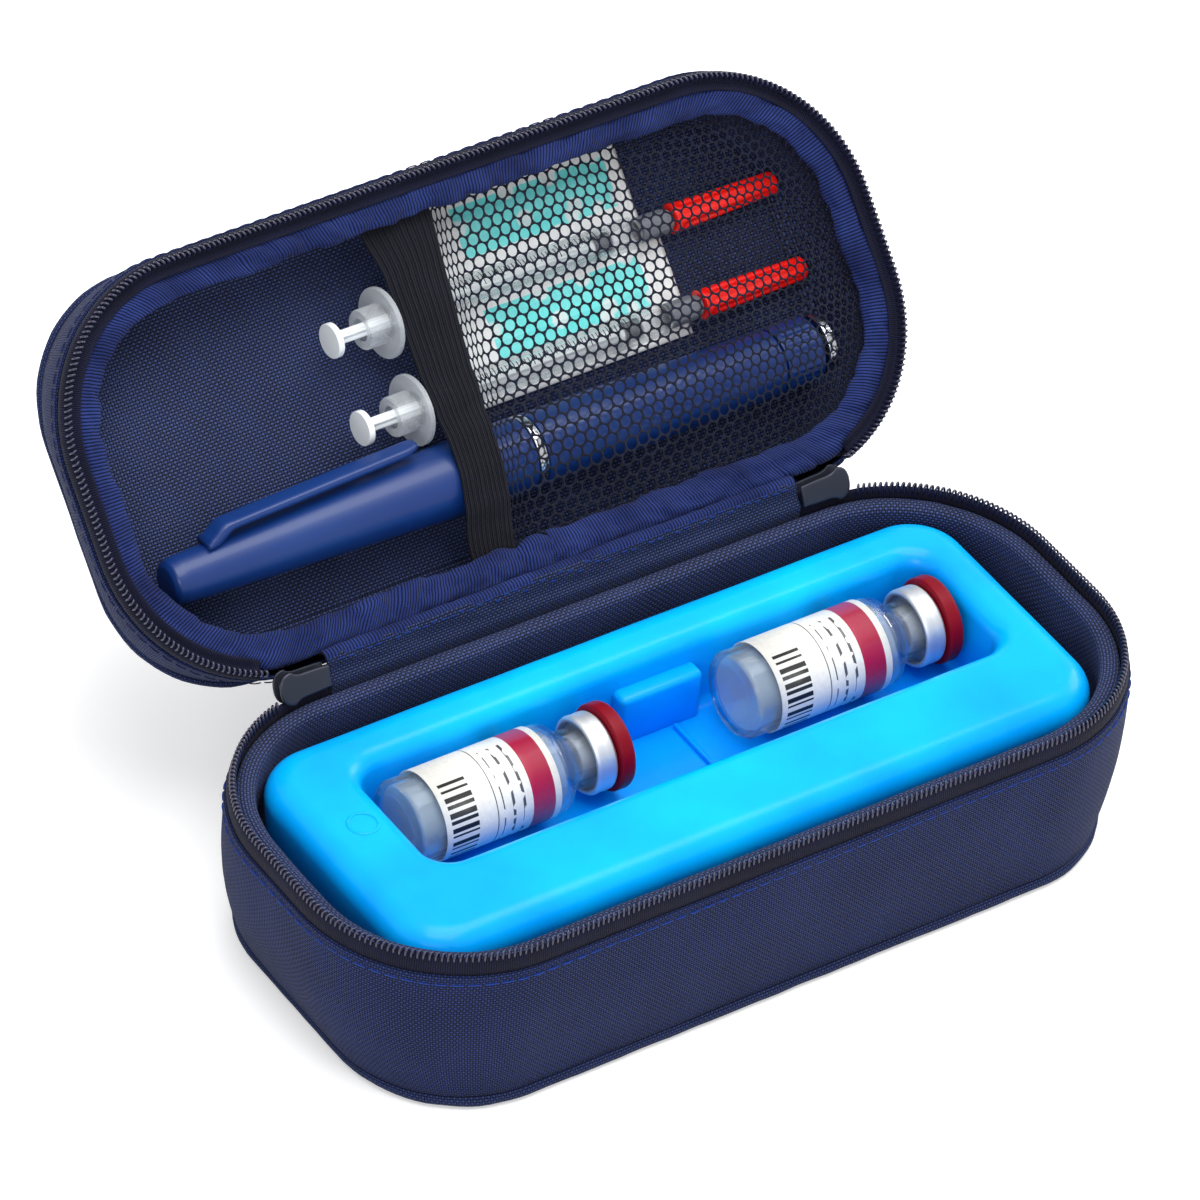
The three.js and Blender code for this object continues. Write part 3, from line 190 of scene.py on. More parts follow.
class Form:
    """Collects grids of points into one mesh with a cloth map measured in metres."""

    def __init__(self):
        self.mesh = bmesh.new()
        self.cloth = self.mesh.loops.layers.uv.new("cloth")

    def grid(self, rows, around=False, flat=None):
        """Faces between rows of points; around joins each row's end to its start.

        The cloth map runs with the lengths of the rows, or is flat(point) where that is given. The
        corners come back row by row.
        """
        verts = [[self.mesh.verts.new(point) for point in row] for row in rows]
        columns = len(rows[0])
        longest = max(rows, key=lambda row: path_lengths(row + row[:around])[-1])
        across = path_lengths(longest + longest[:1])
        down = [0.0]
        for above, below in zip(rows, rows[1:]):
            gaps = [(b - a).length for a, b in zip(above, below)]
            down.append(down[-1] + sum(gaps) / len(gaps))
        for r in range(len(rows) - 1):
            for c in range(columns if around else columns - 1):
                n = (c + 1) % columns
                corners = [(r, c, c), (r, n, c + 1), (r + 1, n, c + 1), (r + 1, c, c)]
                face = self.mesh.faces.new([verts[i][j] for i, j, _ in corners])
                for loop, (i, _, k) in zip(face.loops, corners):
                    loop[self.cloth].uv = flat(loop.vert.co) if flat else (across[k], down[i])
        return verts

    def close(self, rings):
        """Faces on the first and the last of the rings of corners that grid() gave back."""
        for ring in (rings[0], rings[-1]):
            self.mesh.faces.new(ring)

    def block(self, size, centre):
        """An upright block, for pieces that get their bevel later."""
        for vert in bmesh.ops.create_cube(self.mesh, size=1)["verts"]:
            vert.co = Vector(a * b for a, b in zip(vert.co, size)) + Vector(centre)

    def finish(self, name, place=None, merge=1e-6):
        """The mesh as a smooth-shaded object, placed in the frame."""
        bmesh.ops.remove_doubles(self.mesh, verts=self.mesh.verts, dist=merge)
        bmesh.ops.recalc_face_normals(self.mesh, faces=self.mesh.faces)
        data = bpy.data.meshes.new(name)
        if place is not None:
            self.mesh.transform(place)
            if place.is_negative:
                bmesh.ops.reverse_faces(self.mesh, faces=self.mesh.faces)
        self.mesh.to_mesh(data)
        self.mesh.free()
        data.shade_smooth()
        made = bpy.data.objects.new(name, data)
        bpy.context.scene.collection.objects.link(made)
        return made


def path_lengths(points):
    """Distance from the first point to each point of a path."""
    lengths = [0.0]
    for a, b in zip(points, points[1:]):
        lengths.append(lengths[-1] + (b - a).length)
    return lengths


def on_path(points, lengths, wanted):
    """The point at a distance along a path, and the path's direction there."""
    segment = min(bisect_right(lengths, wanted), len(points) - 1) - 1
    a, b = points[segment], points[segment + 1]
    share = (wanted - lengths[segment]) / (lengths[segment + 1] - lengths[segment])
    return a.lerp(b, share), (b - a).normalized()


def resampled(ring, count):
    """A closed ring's points again, evenly spaced."""
    closed = ring + ring[:1]
    lengths = path_lengths(closed)
    return [on_path(closed, lengths, lengths[-1] * i / count)[0] for i in range(count)]


def lerp(a, b, share):
    """The value at a share of the way from a to b."""
    return a + (b - a) * share


def smoothstep(low, high, value):
    """0 up to low, 1 from high on, and a smooth rise between; high may be the smaller of the two."""
    share = min(max((value - low) / (high - low), 0), 1)
    return share * share * (3 - 2 * share)


def steps(count):
    """Shares from 0 to 1, both included."""
    return [i / count for i in range(count + 1)]


def quarter_turn(count):
    """Cosine and sine at even steps of a quarter turn."""
    return [(math.cos(math.pi / 2 * t), math.sin(math.pi / 2 * t)) for t in steps(count)]


def rounded_ring(length, width, radius, hinge_side=1):
    """Rounded rectangle from the middle of its hinge side round by the left, as points at z = 0."""
    half_x, half_y = length / 2 - radius, width / 2 - radius
    points = [(-half_x * t, width / 2) for t in steps(26)[:-1]]
    sides = [
        (-1, 1, 8, lambda t: (-length / 2, lerp(half_y, -half_y, t))),
        (-1, -1, 52, lambda t: (lerp(-half_x, half_x, t), -width / 2)),
        (1, -1, 8, lambda t: (length / 2, lerp(-half_y, half_y, t))),
        (1, 1, 26, lambda t: (lerp(half_x, 0, t), width / 2)),
    ]
    for corner, (side_x, side_y, count, straight) in enumerate(sides):
        for t in steps(20)[:-1]:
            angle = math.pi / 2 * (1 + corner + t)
            points.append((
                side_x * half_x + radius * math.cos(angle),
                side_y * half_y + radius * math.sin(angle),
            ))
        points += [straight(t) for t in steps(count)[:-1]]
    return [Vector((x, hinge_side * y, 0)) for x, y in points]


class CaseHalf:
    """Outline of the base or the lid at any inset from, and drop below, its zip line."""

    def __init__(self, depth, bulge, centre, hinge_side, place):
        self.depth = depth
        self.bulge = bulge
        self.centre = centre
        self.hinge_side = hinge_side
        self.place = place

    def from_hinge(self, point):
        """Distance across the case between a point and the zip line's hinge side."""
        return abs(point.y - self.centre - self.hinge_side * CASE_WIDTH / 2)

    def at_hinge(self, point):
        """Whether a point is in the half of the outline that has the hinge."""
        return (point.y - self.centre) * self.hinge_side > 0

    def ring(self, inset, drop):
        """The outline as points; it narrows towards the panel by the half's bulge."""
        share = min(max(drop / self.depth, 0), 1) ** self.bulge
        points = rounded_ring(
            lerp(CASE_LENGTH, PANEL_LENGTH, share) - 2 * inset,
            lerp(CASE_WIDTH, PANEL_WIDTH, share) - 2 * inset,
            lerp(CORNER_RADIUS, PANEL_CORNER_RADIUS, share) - inset,
            self.hinge_side,
        )
        return [Vector((p.x, self.centre + p.y, -drop)) for p in points]

    def disc(self, inset, drop, rings=14, crown=0.0):
        """Rings from an outline in to its middle line, for a panel or a floor."""
        edge = self.ring(inset, drop)
        reach = max(p.x for p in edge) - max(p.y for p in edge) + self.centre
        rows = []
        for t in steps(rings):
            row = []
            for p in edge:
                middle = Vector((min(max(p.x, -reach), reach), self.centre, p.z))
                row.append(p.lerp(middle, t) + Vector((0, 0, crown * (1 - (1 - t) ** 2))))
            rows.append(row)
        return rows

    def run(self, inset, drop, pitch, phase=0.0, start=0.0):
        """Evenly spaced places along the outline, as (point, along, outwards).

        They go from the middle of the hinge side all the way round, and leave out the length start
        on both sides of that middle.
        """
        ring = self.ring(inset, drop)
        ring.append(ring[0].copy())
        lengths = path_lengths(ring)
        count = max(1, round((lengths[-1] - 2 * start) / pitch))
        spacing = (lengths[-1] - 2 * start) / count
        places = []
        for i in range(count):
            point, along = on_path(ring, lengths, start + (i + 0.5 + phase) * spacing)
            outwards = along.cross(Vector((0, 0, 1))).normalized()
            if outwards.dot(point - Vector((0, self.centre, point.z))) < 0:
                outwards.negate()
            places.append((point, along, outwards))
        return places


BASE = CaseHalf(BASE_HEIGHT, BASE_BULGE, 0.0, 1, BASE_PLACE)
LID = CaseHalf(LID_DEPTH, LID_BULGE, LID_CENTRE, -1, LID_PLACE)
HALVES = {"base": BASE, "lid": LID}


def rumple(made, height, size, seed, mask=None):
    """Moves a mesh's points along their normals by smooth noise, as worn fabric gives."""
    shift = Vector((seed * 7.31, seed * 3.17, seed * 5.77))
    normals = [v.normal.copy() for v in made.data.vertices]
    for vert, normal in zip(made.data.vertices, normals):
        spot = vert.co / size + shift
        amount = noise.noise(spot) + 0.45 * noise.noise(spot * 2.3)
        share = mask(vert.co) if mask else 1.0
        vert.co += normal * (height * amount * share)
    made.data.update()


def turned_rows(profile, sides, cut=None):
    """Rows round the X axis for a profile of (along, radius) in metres."""
    rows = []
    for along, radius in profile:
        row = []
        for i in range(sides):
            angle = 2 * math.pi * i / sides
            reach = radius * (1 + (cut(angle, along) if cut else 0))
            row.append(Vector((along, reach * math.cos(angle), reach * math.sin(angle))))
        rows.append(row)
    return rows


def grooves(depth, count, fade_in, fade_out, power=2, turn=0.0):
    """Lengthwise grooves; each fade is two places in millimetres, without and with full depth."""
    def cut(angle, along):
        share = 1.0
        for without, full in (fade_in, fade_out):
            share *= smoothstep(without * MM, full * MM, along)
        return -depth * share * (0.5 + 0.5 * math.cos(angle * count + turn)) ** power

    return cut


def eased(profile, ease):
    """A profile whose inner corners are rounded by small arcs of about the given size."""
    result = [profile[0]]
    for before, corner, after in zip(profile, profile[1:], profile[2:]):
        p, c, n = Vector(before), Vector(corner), Vector(after)
        to_p, to_n = p - c, n - c
        size = min(ease, to_p.length * 0.45, to_n.length * 0.45)
        if size < 1e-6:
            result.append(corner)
            continue
        a, b = c + to_p.normalized() * size, c + to_n.normalized() * size
        for t in steps(4):
            q = a.lerp(c, t).lerp(c.lerp(b, t), t)
            result.append((q.x, q.y))
    result.append(profile[-1])
    return result


def turned_piece(name, profile, look, body, slot, place, replaces=(), sides=64, ease=0.25, cut=None):
    """A turned piece along X from its profile of (along, radius) in millimetres, with eased edges."""
    form = Form()
    profile = eased([(along * MM, radius * MM) for along, radius in profile], ease * MM)
    form.grid(turned_rows(profile, sides, cut), around=True)
    return dress(form.finish(name, place), look, body, replaces)


def turned_set(owner, place, rows):
    """Turned pieces on one axis: (piece, node, profile, look, body, slot, sides, ease, cut) each."""
    for piece, node, profile, look, body, slot, *shape in rows:
        turned_piece(f"{owner}_{piece}", profile, look, body, slot, place, [f"{owner}_{node}"], *shape)


def tube(form, path, radius, sides=8):
    """A round tube along a path of points; its frame is carried along without twist."""
    neighbours = zip(path[:1] + path[:-1], path[1:] + path[-1:])
    tangents = [(after - before).normalized() for before, after in neighbours]
    side = tangents[0].orthogonal().normalized()
    rows = []
    for point, tangent in zip(path, tangents):
        side = (side - tangent * side.dot(tangent)).normalized()
        up = tangent.cross(side)
        rows.append([
            point + (side * math.cos(a) + up * math.sin(a)) * radius
            for a in (2 * math.pi * k / sides for k in range(sides))
        ])
    form.grid([[path[0]] * sides, *rows, [path[-1]] * sides], around=True)


def dress(made, look, body, replaces=()):
    """Gives a piece its material, its body and the CAD nodes that it stands for."""
    for item in look if isinstance(look, list) else [look]:
        made.data.materials.append(item)
    if body:
        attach(made, body)
    if replaces:
        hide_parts(*replaces)
    return made


def bevelled(made, width, segments=3):
    """Rounds a piece's edges and applies the result to its mesh."""
    modifier = made.modifiers.new("edge", "BEVEL")
    modifier.width = width
    modifier.segments = segments
    modifier.limit_method = "ANGLE"
    modifier.angle_limit = math.radians(30)
    apply_modifiers(made)
    made.data.shade_smooth()
    return made


def apply_modifiers(made):
    """Puts what a piece's modifiers make into its mesh."""
    graph = bpy.context.evaluated_depsgraph_get()
    data = bpy.data.meshes.new_from_object(made.evaluated_get(graph))
    made.modifiers.clear()
    made.data = data


# Materials

def feed(tree, socket, value):
    """Puts a number, colour or another node's output into a socket."""
    if isinstance(value, bpy.types.NodeSocket):
        tree.links.new(value, socket)
    elif value is not None:
        socket.default_value = value


def calc(tree, operation, a, b=None, c=None):
    node = tree.nodes.new("ShaderNodeMath")
    node.operation = operation
    for socket, value in zip(node.inputs, (a, b, c)):
        feed(tree, socket, value)
    return node.outputs[0]


def mixed(tree, share, a, b):
    """Colour a where the share is 0, colour b where it is 1."""
    node = tree.nodes.new("ShaderNodeMix")
    node.data_type = "RGBA"
    feed(tree, node.inputs["Factor"], share)
    feed(tree, node.inputs[6], a)
    feed(tree, node.inputs[7], b)
    return node.outputs[2]


def split(tree, vector):
    node = tree.nodes.new("ShaderNodeSeparateXYZ")
    feed(tree, node.inputs[0], vector)
    return node.outputs


def noise_of(tree, vector, scale, detail=2.0, roughness=0.5):
    node = tree.nodes.new("ShaderNodeTexNoise")
    return set_inputs(tree, node, Vector=vector, Scale=scale, Detail=detail, Roughness=roughness)["Fac"]


def remapped(tree, value, low, high, to_low=0.0, to_high=1.0):
    node = tree.nodes.new("ShaderNodeMapRange")
    return set_inputs(
        tree, node, Value=value, From_Min=low, From_Max=high, To_Min=to_low, To_Max=to_high)["Result"]


def effect(name, inputs, outputs, wire):
    """A shader node group with named sockets; wire(tree, ins) returns its output values by name."""
    tree = bpy.data.node_groups.new(name, "ShaderNodeTree")
    for label, kind, default in inputs:
        socket = tree.interface.new_socket(name=label, in_out="INPUT", socket_type=kind)
        if default is not None:
            socket.default_value = default
    for label, kind in outputs:
        tree.interface.new_socket(name=label, in_out="OUTPUT", socket_type=kind)
    ins = tree.nodes.new("NodeGroupInput").outputs
    out = tree.nodes.new("NodeGroupOutput")
    for label, value in wire(tree, ins).items():
        tree.links.new(value, out.inputs[label])
    return tree


def set_inputs(tree, node, **values):
    """Feeds a node's inputs, named with _ for a space, and gives back its outputs."""
    for label, value in values.items():
        feed(tree, node.inputs[label.replace("_", " ")], value)
    return node.outputs


def place_effect(tree, group, **values):
    """A node group in a material, with its inputs fed."""
    node = tree.nodes.new("ShaderNodeGroup")
    node.node_tree = group
    return set_inputs(tree, node, **values)


def hump(tree, value):
    """Rises from 0 to 1 and falls back between one whole number and the next."""
    return calc(tree, "SINE", calc(tree, "MULTIPLY", calc(tree, "FRACT", value), math.pi))


def object_place(tree):
    return tree.nodes.new("ShaderNodeTexCoord").outputs["Object"]


NUMBER, COLOUR, VECTOR = "NodeSocketFloat", "NodeSocketColor", "NodeSocketVector"


def wire_weave(tree, ins):
    """Basket weave: at each crossing one thread lies over the other, and the gaps are dark."""
    axes = split(tree, ins["Cloth"])
    sway = calc(tree, "MULTIPLY", noise_of(tree, ins["Cloth"], 90.0), 0.35)
    across = calc(tree, "ADD", calc(tree, "DIVIDE", axes[0], ins["Pitch"]), sway)
    down = calc(tree, "ADD", calc(tree, "DIVIDE", axes[1], ins["Pitch"]), sway)
    warp = hump(tree, across)
    weft = hump(tree, down)
    cells = calc(tree, "ADD", calc(tree, "FLOOR", across), calc(tree, "FLOOR", down))
    odd = calc(tree, "ABSOLUTE", calc(tree, "MODULO", cells, 2.0))
    over_warp = calc(tree, "MULTIPLY", warp, calc(tree, "MULTIPLY_ADD", weft, 0.5, 0.5))
    over_weft = calc(tree, "MULTIPLY", weft, calc(tree, "MULTIPLY_ADD", warp, 0.5, 0.5))
    swapped = calc(tree, "MULTIPLY", calc(tree, "SUBTRACT", over_weft, over_warp), odd)
    height = calc(tree, "ADD", over_warp, swapped)
    cover = remapped(tree, height, 0.25, 0.75)
    fade = remapped(tree, noise_of(tree, ins["Cloth"], 55.0, 3.0), 0.3, 0.7, 0.0, 0.45)
    yarn = mixed(tree, fade, ins["Thread"], ins["Worn Thread"])
    yarn = mixed(tree, remapped(tree, odd, 0.0, 1.0, 0.0, 0.8), yarn, ins["Worn Thread"])
    return {
        "Colour": mixed(tree, cover, ins["Gap"], yarn),
        "Height": height,
        "Roughness": remapped(tree, cover, 0.0, 1.0, 0.95, 0.62),
    }


def wire_ribs(tree, ins):
    """Fine cords side by side along the cloth's first axis, each a little different."""
    axes = split(tree, ins["Cloth"])
    sway = calc(tree, "MULTIPLY", noise_of(tree, ins["Cloth"], 140.0), 0.5)
    place = calc(tree, "ADD", calc(tree, "DIVIDE", axes[0], ins["Pitch"]), sway)
    rib = hump(tree, place)
    knit = calc(tree, "DIVIDE", axes[1], calc(tree, "MULTIPLY", ins["Pitch"], 0.55))
    stitch = hump(tree, knit)
    height = calc(tree, "MULTIPLY", rib, calc(tree, "MULTIPLY_ADD", stitch, 0.3, 0.7))
    fade = remapped(tree, noise_of(tree, ins["Cloth"], 70.0, 3.0), 0.3, 0.7)
    yarn = mixed(tree, fade, ins["Thread"], ins["Worn Thread"])
    return {
        "Colour": mixed(tree, remapped(tree, height, 0.15, 0.7), ins["Gap"], yarn),
        "Height": height,
        "Roughness": remapped(tree, height, 0.0, 1.0, 0.95, 0.65),
    }


def wire_moulded(tree, ins):
    """Moulded plastic: faint flow marks in colour and gloss, and a very fine surface grain."""
    flow = remapped(tree, noise_of(tree, ins["Place"], 28.0, 3.0), 0.3, 0.7)
    grain = noise_of(tree, ins["Place"], 1400.0, 2.0)
    scuff = remapped(tree, noise_of(tree, ins["Place"], 240.0, 5.0, 0.7), 0.56, 0.74)
    return {
        "Colour": mixed(tree, flow, ins["Colour"], ins["Second Colour"]),
        "Height": calc(tree, "MULTIPLY_ADD", scuff, -0.4, grain),
        "Roughness": calc(tree, "MULTIPLY_ADD", scuff, ins["Scuffs"], ins["Roughness"]),
    }


CLOTH_INPUTS = [
    ("Cloth", VECTOR, None), ("Pitch", NUMBER, 0.0011), ("Thread", COLOUR, (0.05, 0.06, 0.14, 1)),
    ("Worn Thread", COLOUR, (0.07, 0.08, 0.17, 1)), ("Gap", COLOUR, (0.01, 0.01, 0.03, 1)),
]
PLASTIC_INPUTS = [
    ("Place", VECTOR, None), ("Colour", COLOUR, (0.5, 0.5, 0.5, 1)),
    ("Second Colour", COLOUR, (0.5, 0.5, 0.5, 1)), ("Roughness", NUMBER, 0.3), ("Scuffs", NUMBER, 0.1),
]
SURFACE_OUTPUTS = [("Colour", COLOUR), ("Height", NUMBER), ("Roughness", NUMBER)]


def srgb(red, green, blue):
    """A screen colour from 0 to 255 as the linear colour that the shaders take."""
    shares = [c / 255 for c in (red, green, blue)]
    return (*(((c + 0.055) / 1.055) ** 2.4 if c > 0.0404 else c / 12.92 for c in shares), 1.0)


class Looks:
    """All materials of the case, made once from the colours in the sidebar."""

    def __init__(self, colours):
        self.weave = effect("woven cloth", CLOTH_INPUTS, SURFACE_OUTPUTS, wire_weave)
        self.ribs = effect("ribbed cloth", CLOTH_INPUTS, SURFACE_OUTPUTS, wire_ribs)
        self.moulded = effect("moulded plastic", PLASTIC_INPUTS, SURFACE_OUTPUTS, wire_moulded)
        dark = srgb(3, 5, 16)
        self.hinge = self.cloth(
            "hinge fabric", self.weave, 0.6 * MM, srgb(20, 29, 62), srgb(52, 67, 110), dark, 0.0002)
        self.outer = self.cloth(
            "outer fabric", self.weave, 0.62 * MM, (*colours.fabric, 1), (*colours.fabric_worn, 1),
            dark, 0.00016)
        self.lining = self.cloth(
            "lining fabric", self.weave, 0.7 * MM, srgb(17, 26, 60), srgb(60, 77, 130), srgb(2, 3, 10),
            0.00022, shine=0.28)
        self.piping = self.cloth(
            "piping fabric", self.weave, 0.6 * MM, srgb(24, 36, 78), srgb(50, 64, 112), dark, 0.00016)
        self.tape = self.cloth(
            "zip tape", self.ribs, 0.5 * MM, srgb(12, 14, 36), srgb(20, 23, 50), srgb(3, 4, 12),
            0.00012)
        self.binding = self.cloth(
            "binding", self.ribs, 0.78 * MM, (*colours.binding, 1), srgb(38, 56, 120), srgb(2, 4, 20),
            0.00026)
        self.elastic = self.cloth(
            "elastic", self.ribs, 0.8 * MM, srgb(13, 14, 24), srgb(22, 24, 36), srgb(3, 3, 8), 0.0003)
        self.net = self.cloth(
            "net", self.ribs, 0.4 * MM, srgb(15, 18, 34), srgb(30, 34, 54), srgb(6, 7, 14), 0.0001)
        self.thread = self.cloth(
            "stitching thread", self.ribs, 0.35 * MM, srgb(20, 56, 140), srgb(34, 76, 168),
            srgb(8, 18, 60), 0.0001)
        self.teeth = self.plastic("zip teeth", srgb(28, 29, 54), srgb(38, 39, 68), 0.32, 0.1, coat=0.4)
        self.dark_thread = self.cloth(
            "navy thread", self.ribs, 0.35 * MM, srgb(26, 36, 84), srgb(36, 48, 104), srgb(8, 12, 36),
            0.0001)
        self.gunmetal = self.plastic(
            "slider metal", srgb(44, 47, 58), srgb(56, 59, 70), 0.36, 0.15, metallic=0.5)
        # The tray's shade colour is painted shade: a deeper blue towards the lower walls of the tray.
        self.tray = self.plastic(
            "tray plastic", (*colours.tray, 1), (*colours.tray_deep, 1), 0.3, 0.05, coat=0.1, glow=0.3,
            shine=0.12, shade=srgb(0, 100, 236))
        self.plug = self.plastic("tray plug", srgb(60, 205, 245), srgb(40, 190, 238), 0.3, 0.1)
        self.burgundy = self.plastic(
            "flip cap plastic", srgb(124, 0, 24), srgb(112, 0, 20), 0.42, 0.1, shine=0.16)
        self.pen = self.plastic(
            "pen plastic", (*colours.pen, 1), srgb(10, 50, 112), 0.4, 0.08, coat=0.1, shine=0.45)
        self.white = self.plastic("white plastic", srgb(232, 236, 238), srgb(222, 227, 230), 0.38, 0.1)
        self.hub = self.plastic("hub plastic", srgb(120, 124, 132), srgb(104, 108, 118), 0.4, 0.1)
        self.red = self.plastic(
            "needle cap plastic", srgb(255, 24, 12), srgb(246, 18, 10), 0.34, 0.08, coat=0.2)
        self.rubber = self.plastic("stopper rubber", srgb(150, 156, 166), srgb(136, 142, 152), 0.7, 0.1)
        self.seal = self.plastic("seal rubber", srgb(96, 100, 106), srgb(110, 114, 120), 0.65, 0.1)
        self.aluminium = self.plastic(
            "crimped aluminium", srgb(224, 227, 232), srgb(208, 212, 218), 0.46, 0.12, metallic=0.85)
        self.silver = self.plastic(
            "silver ring", srgb(214, 218, 224), srgb(200, 204, 212), 0.2, 0.08, metallic=1.0)
        self.glass = self.clear("vial glass", srgb(236, 246, 252), 0.02, 1.45, 1.0, 0.26, rim=0.8)
        self.liquid = self.clear("vial liquid", srgb(200, 218, 236), 0.05, 1.2, 0.3, 0.5)
        self.barrel = self.clear("barrel plastic", srgb(244, 247, 249), 0.1, 1.3, 1.0, 0.35)
        self.milky = self.clear("milky plastic", srgb(236, 241, 246), 0.2, 1.4, 0.3, 0.36, rim=0.6)
        self.ink = self.plastic("graduation ink", srgb(24, 24, 28), srgb(34, 34, 38), 0.5, 0.1)
        self.label = self.printed("vial label", self.label_print)
        self.sachet = self.printed("sachet film", self.sachet_print)

    def blank(self, name):
        look = bpy.data.materials.new(name)
        look.use_nodes = True
        return look, look.node_tree, look.node_tree.nodes["Principled BSDF"]

    def raised(self, tree, shader, height, depth, strength=1.0):
        bump = tree.nodes.new("ShaderNodeBump")
        bumped = set_inputs(tree, bump, Distance=depth, Strength=strength, Height=height)
        set_inputs(tree, shader, Normal=bumped["Normal"])

    def cloth_map(self, tree):
        node = tree.nodes.new("ShaderNodeUVMap")
        node.uv_map = "cloth"
        return node.outputs["UV"]

    def cloth(self, name, group, pitch, thread, worn, gap, depth, shine=0.14):
        look, tree, shader = self.blank(name)
        made = place_effect(
            tree, group, Cloth=self.cloth_map(tree), Pitch=pitch, Thread=thread, Worn_Thread=worn,
            Gap=gap)
        set_inputs(
            tree, shader, Base_Color=made["Colour"], Roughness=made["Roughness"], Sheen_Weight=0.03,
            Specular_IOR_Level=shine)
        self.raised(tree, shader, made["Height"], depth)
        return look

    def plastic(self, name, colour, second, roughness, scuffs, metallic=0.0, coat=0.0, glow=0.0,
                shine=0.5, shade=None):
        look, tree, shader = self.blank(name)
        place = object_place(tree)
        made = place_effect(
            tree, self.moulded, Place=place, Colour=colour, Second_Colour=second, Roughness=roughness,
            Scuffs=scuffs)
        tint = made["Colour"]
        # Painted shade: where a shade colour is given, the colour turns towards it lower down the
        # piece, by height.
        if shade:
            low = remapped(tree, split(tree, place)[2], TRAY_TOP - 12 * MM, TRAY_TOP - 1 * MM, 0.4, 0.0)
            tint = mixed(tree, low, tint, shade)
        set_inputs(
            tree, shader, Base_Color=tint, Roughness=made["Roughness"], Metallic=metallic,
            Specular_IOR_Level=shine, Coat_Weight=coat, Coat_Roughness=0.08)
        if glow:
            set_inputs(
                tree, shader, Subsurface_Weight=glow, Subsurface_Radius=(0.2, 0.8, 1.0),
                Subsurface_Scale=4 * MM)
        self.raised(tree, shader, made["Height"], 0.00003, 0.25)
        return look

    def clear(self, name, colour, roughness, ior, transmission=1.0, alpha=1.0, rim=0.0):
        look, tree, shader = self.blank(name)
        made = place_effect(
            tree, self.moulded, Place=object_place(tree), Colour=colour, Second_Colour=colour,
            Roughness=roughness, Scuffs=0.03)
        set_inputs(
            tree, shader, Base_Color=colour, Roughness=made["Roughness"],
            Transmission_Weight=transmission, Alpha=alpha, IOR=ior)
        if rim:
            edge = set_inputs(tree, tree.nodes.new("ShaderNodeLayerWeight"), Blend=0.5)
            turned = calc(tree, "POWER", edge["Facing"], 3.0)
            set_inputs(tree, shader, Alpha=calc(tree, "MULTIPLY_ADD", turned, rim, alpha))
        return look

    def printed(self, name, paint):
        look, tree, shader = self.blank(name)
        colour, roughness, height, depth = paint(tree, split(tree, self.cloth_map(tree)))
        set_inputs(tree, shader, Base_Color=colour, Roughness=roughness, Coat_Weight=0.2)
        self.raised(tree, shader, height, depth, 0.6)
        return look

    def between(self, tree, value, low, high):
        """1 where the value lies between two limits, else 0."""
        above = calc(tree, "GREATER_THAN", value, low)
        return calc(tree, "MULTIPLY", above, calc(tree, "LESS_THAN", value, high))

    def all_of(self, tree, share, *others):
        """1 where every value is 1, 0 where any is 0."""
        for other in others:
            share = calc(tree, "MULTIPLY", share, other)
        return share

    def label_print(self, tree, axes):
        """Plain label: a burgundy band near the neck, a thin rule, ragged lines and bars."""
        round_it, along = axes[0], axes[1]
        band = self.between(tree, along, 21.5 * MM, 27.0 * MM)
        rule = self.between(tree, along, 12.6 * MM, 12.85 * MM)
        lines = self.all_of(
            tree,
            self.between(tree, calc(tree, "FRACT", calc(tree, "DIVIDE", along, 2.6 * MM)), 0.32, 0.58),
            self.between(tree, along, 14.2 * MM, 20.6 * MM),
            calc(tree, "GREATER_THAN", noise_of(tree, self.cloth_map(tree), 420.0, 0.0), 0.47),
            self.between(tree, round_it, 14 * MM, 42 * MM))
        places = calc(tree, "DIVIDE", round_it, 1.7 * MM)
        white = tree.nodes.new("ShaderNodeTexWhiteNoise")
        white.noise_dimensions = "1D"
        drawn = set_inputs(tree, white, W=calc(tree, "FLOOR", places))["Value"]
        widths = remapped(tree, drawn, 0.0, 1.0, 0.28, 0.74)
        bars = self.all_of(
            tree,
            calc(tree, "LESS_THAN", calc(tree, "FRACT", places), widths),
            self.between(tree, along, 1.4 * MM, 8.0 * MM),
            self.between(tree, round_it, 18 * MM, 52 * MM))
        grain = noise_of(tree, self.cloth_map(tree), 900.0, 2.0)
        colour = mixed(tree, remapped(tree, grain, 0.3, 0.7), srgb(226, 225, 220), srgb(216, 214, 207))
        colour = mixed(tree, band, colour, srgb(160, 10, 56))
        colour = mixed(tree, calc(tree, "MAXIMUM", rule, lines), colour, srgb(72, 72, 78))
        colour = mixed(tree, bars, colour, srgb(10, 10, 12))
        return colour, remapped(tree, grain, 0.2, 0.8, 0.34, 0.46), grain, 0.00002

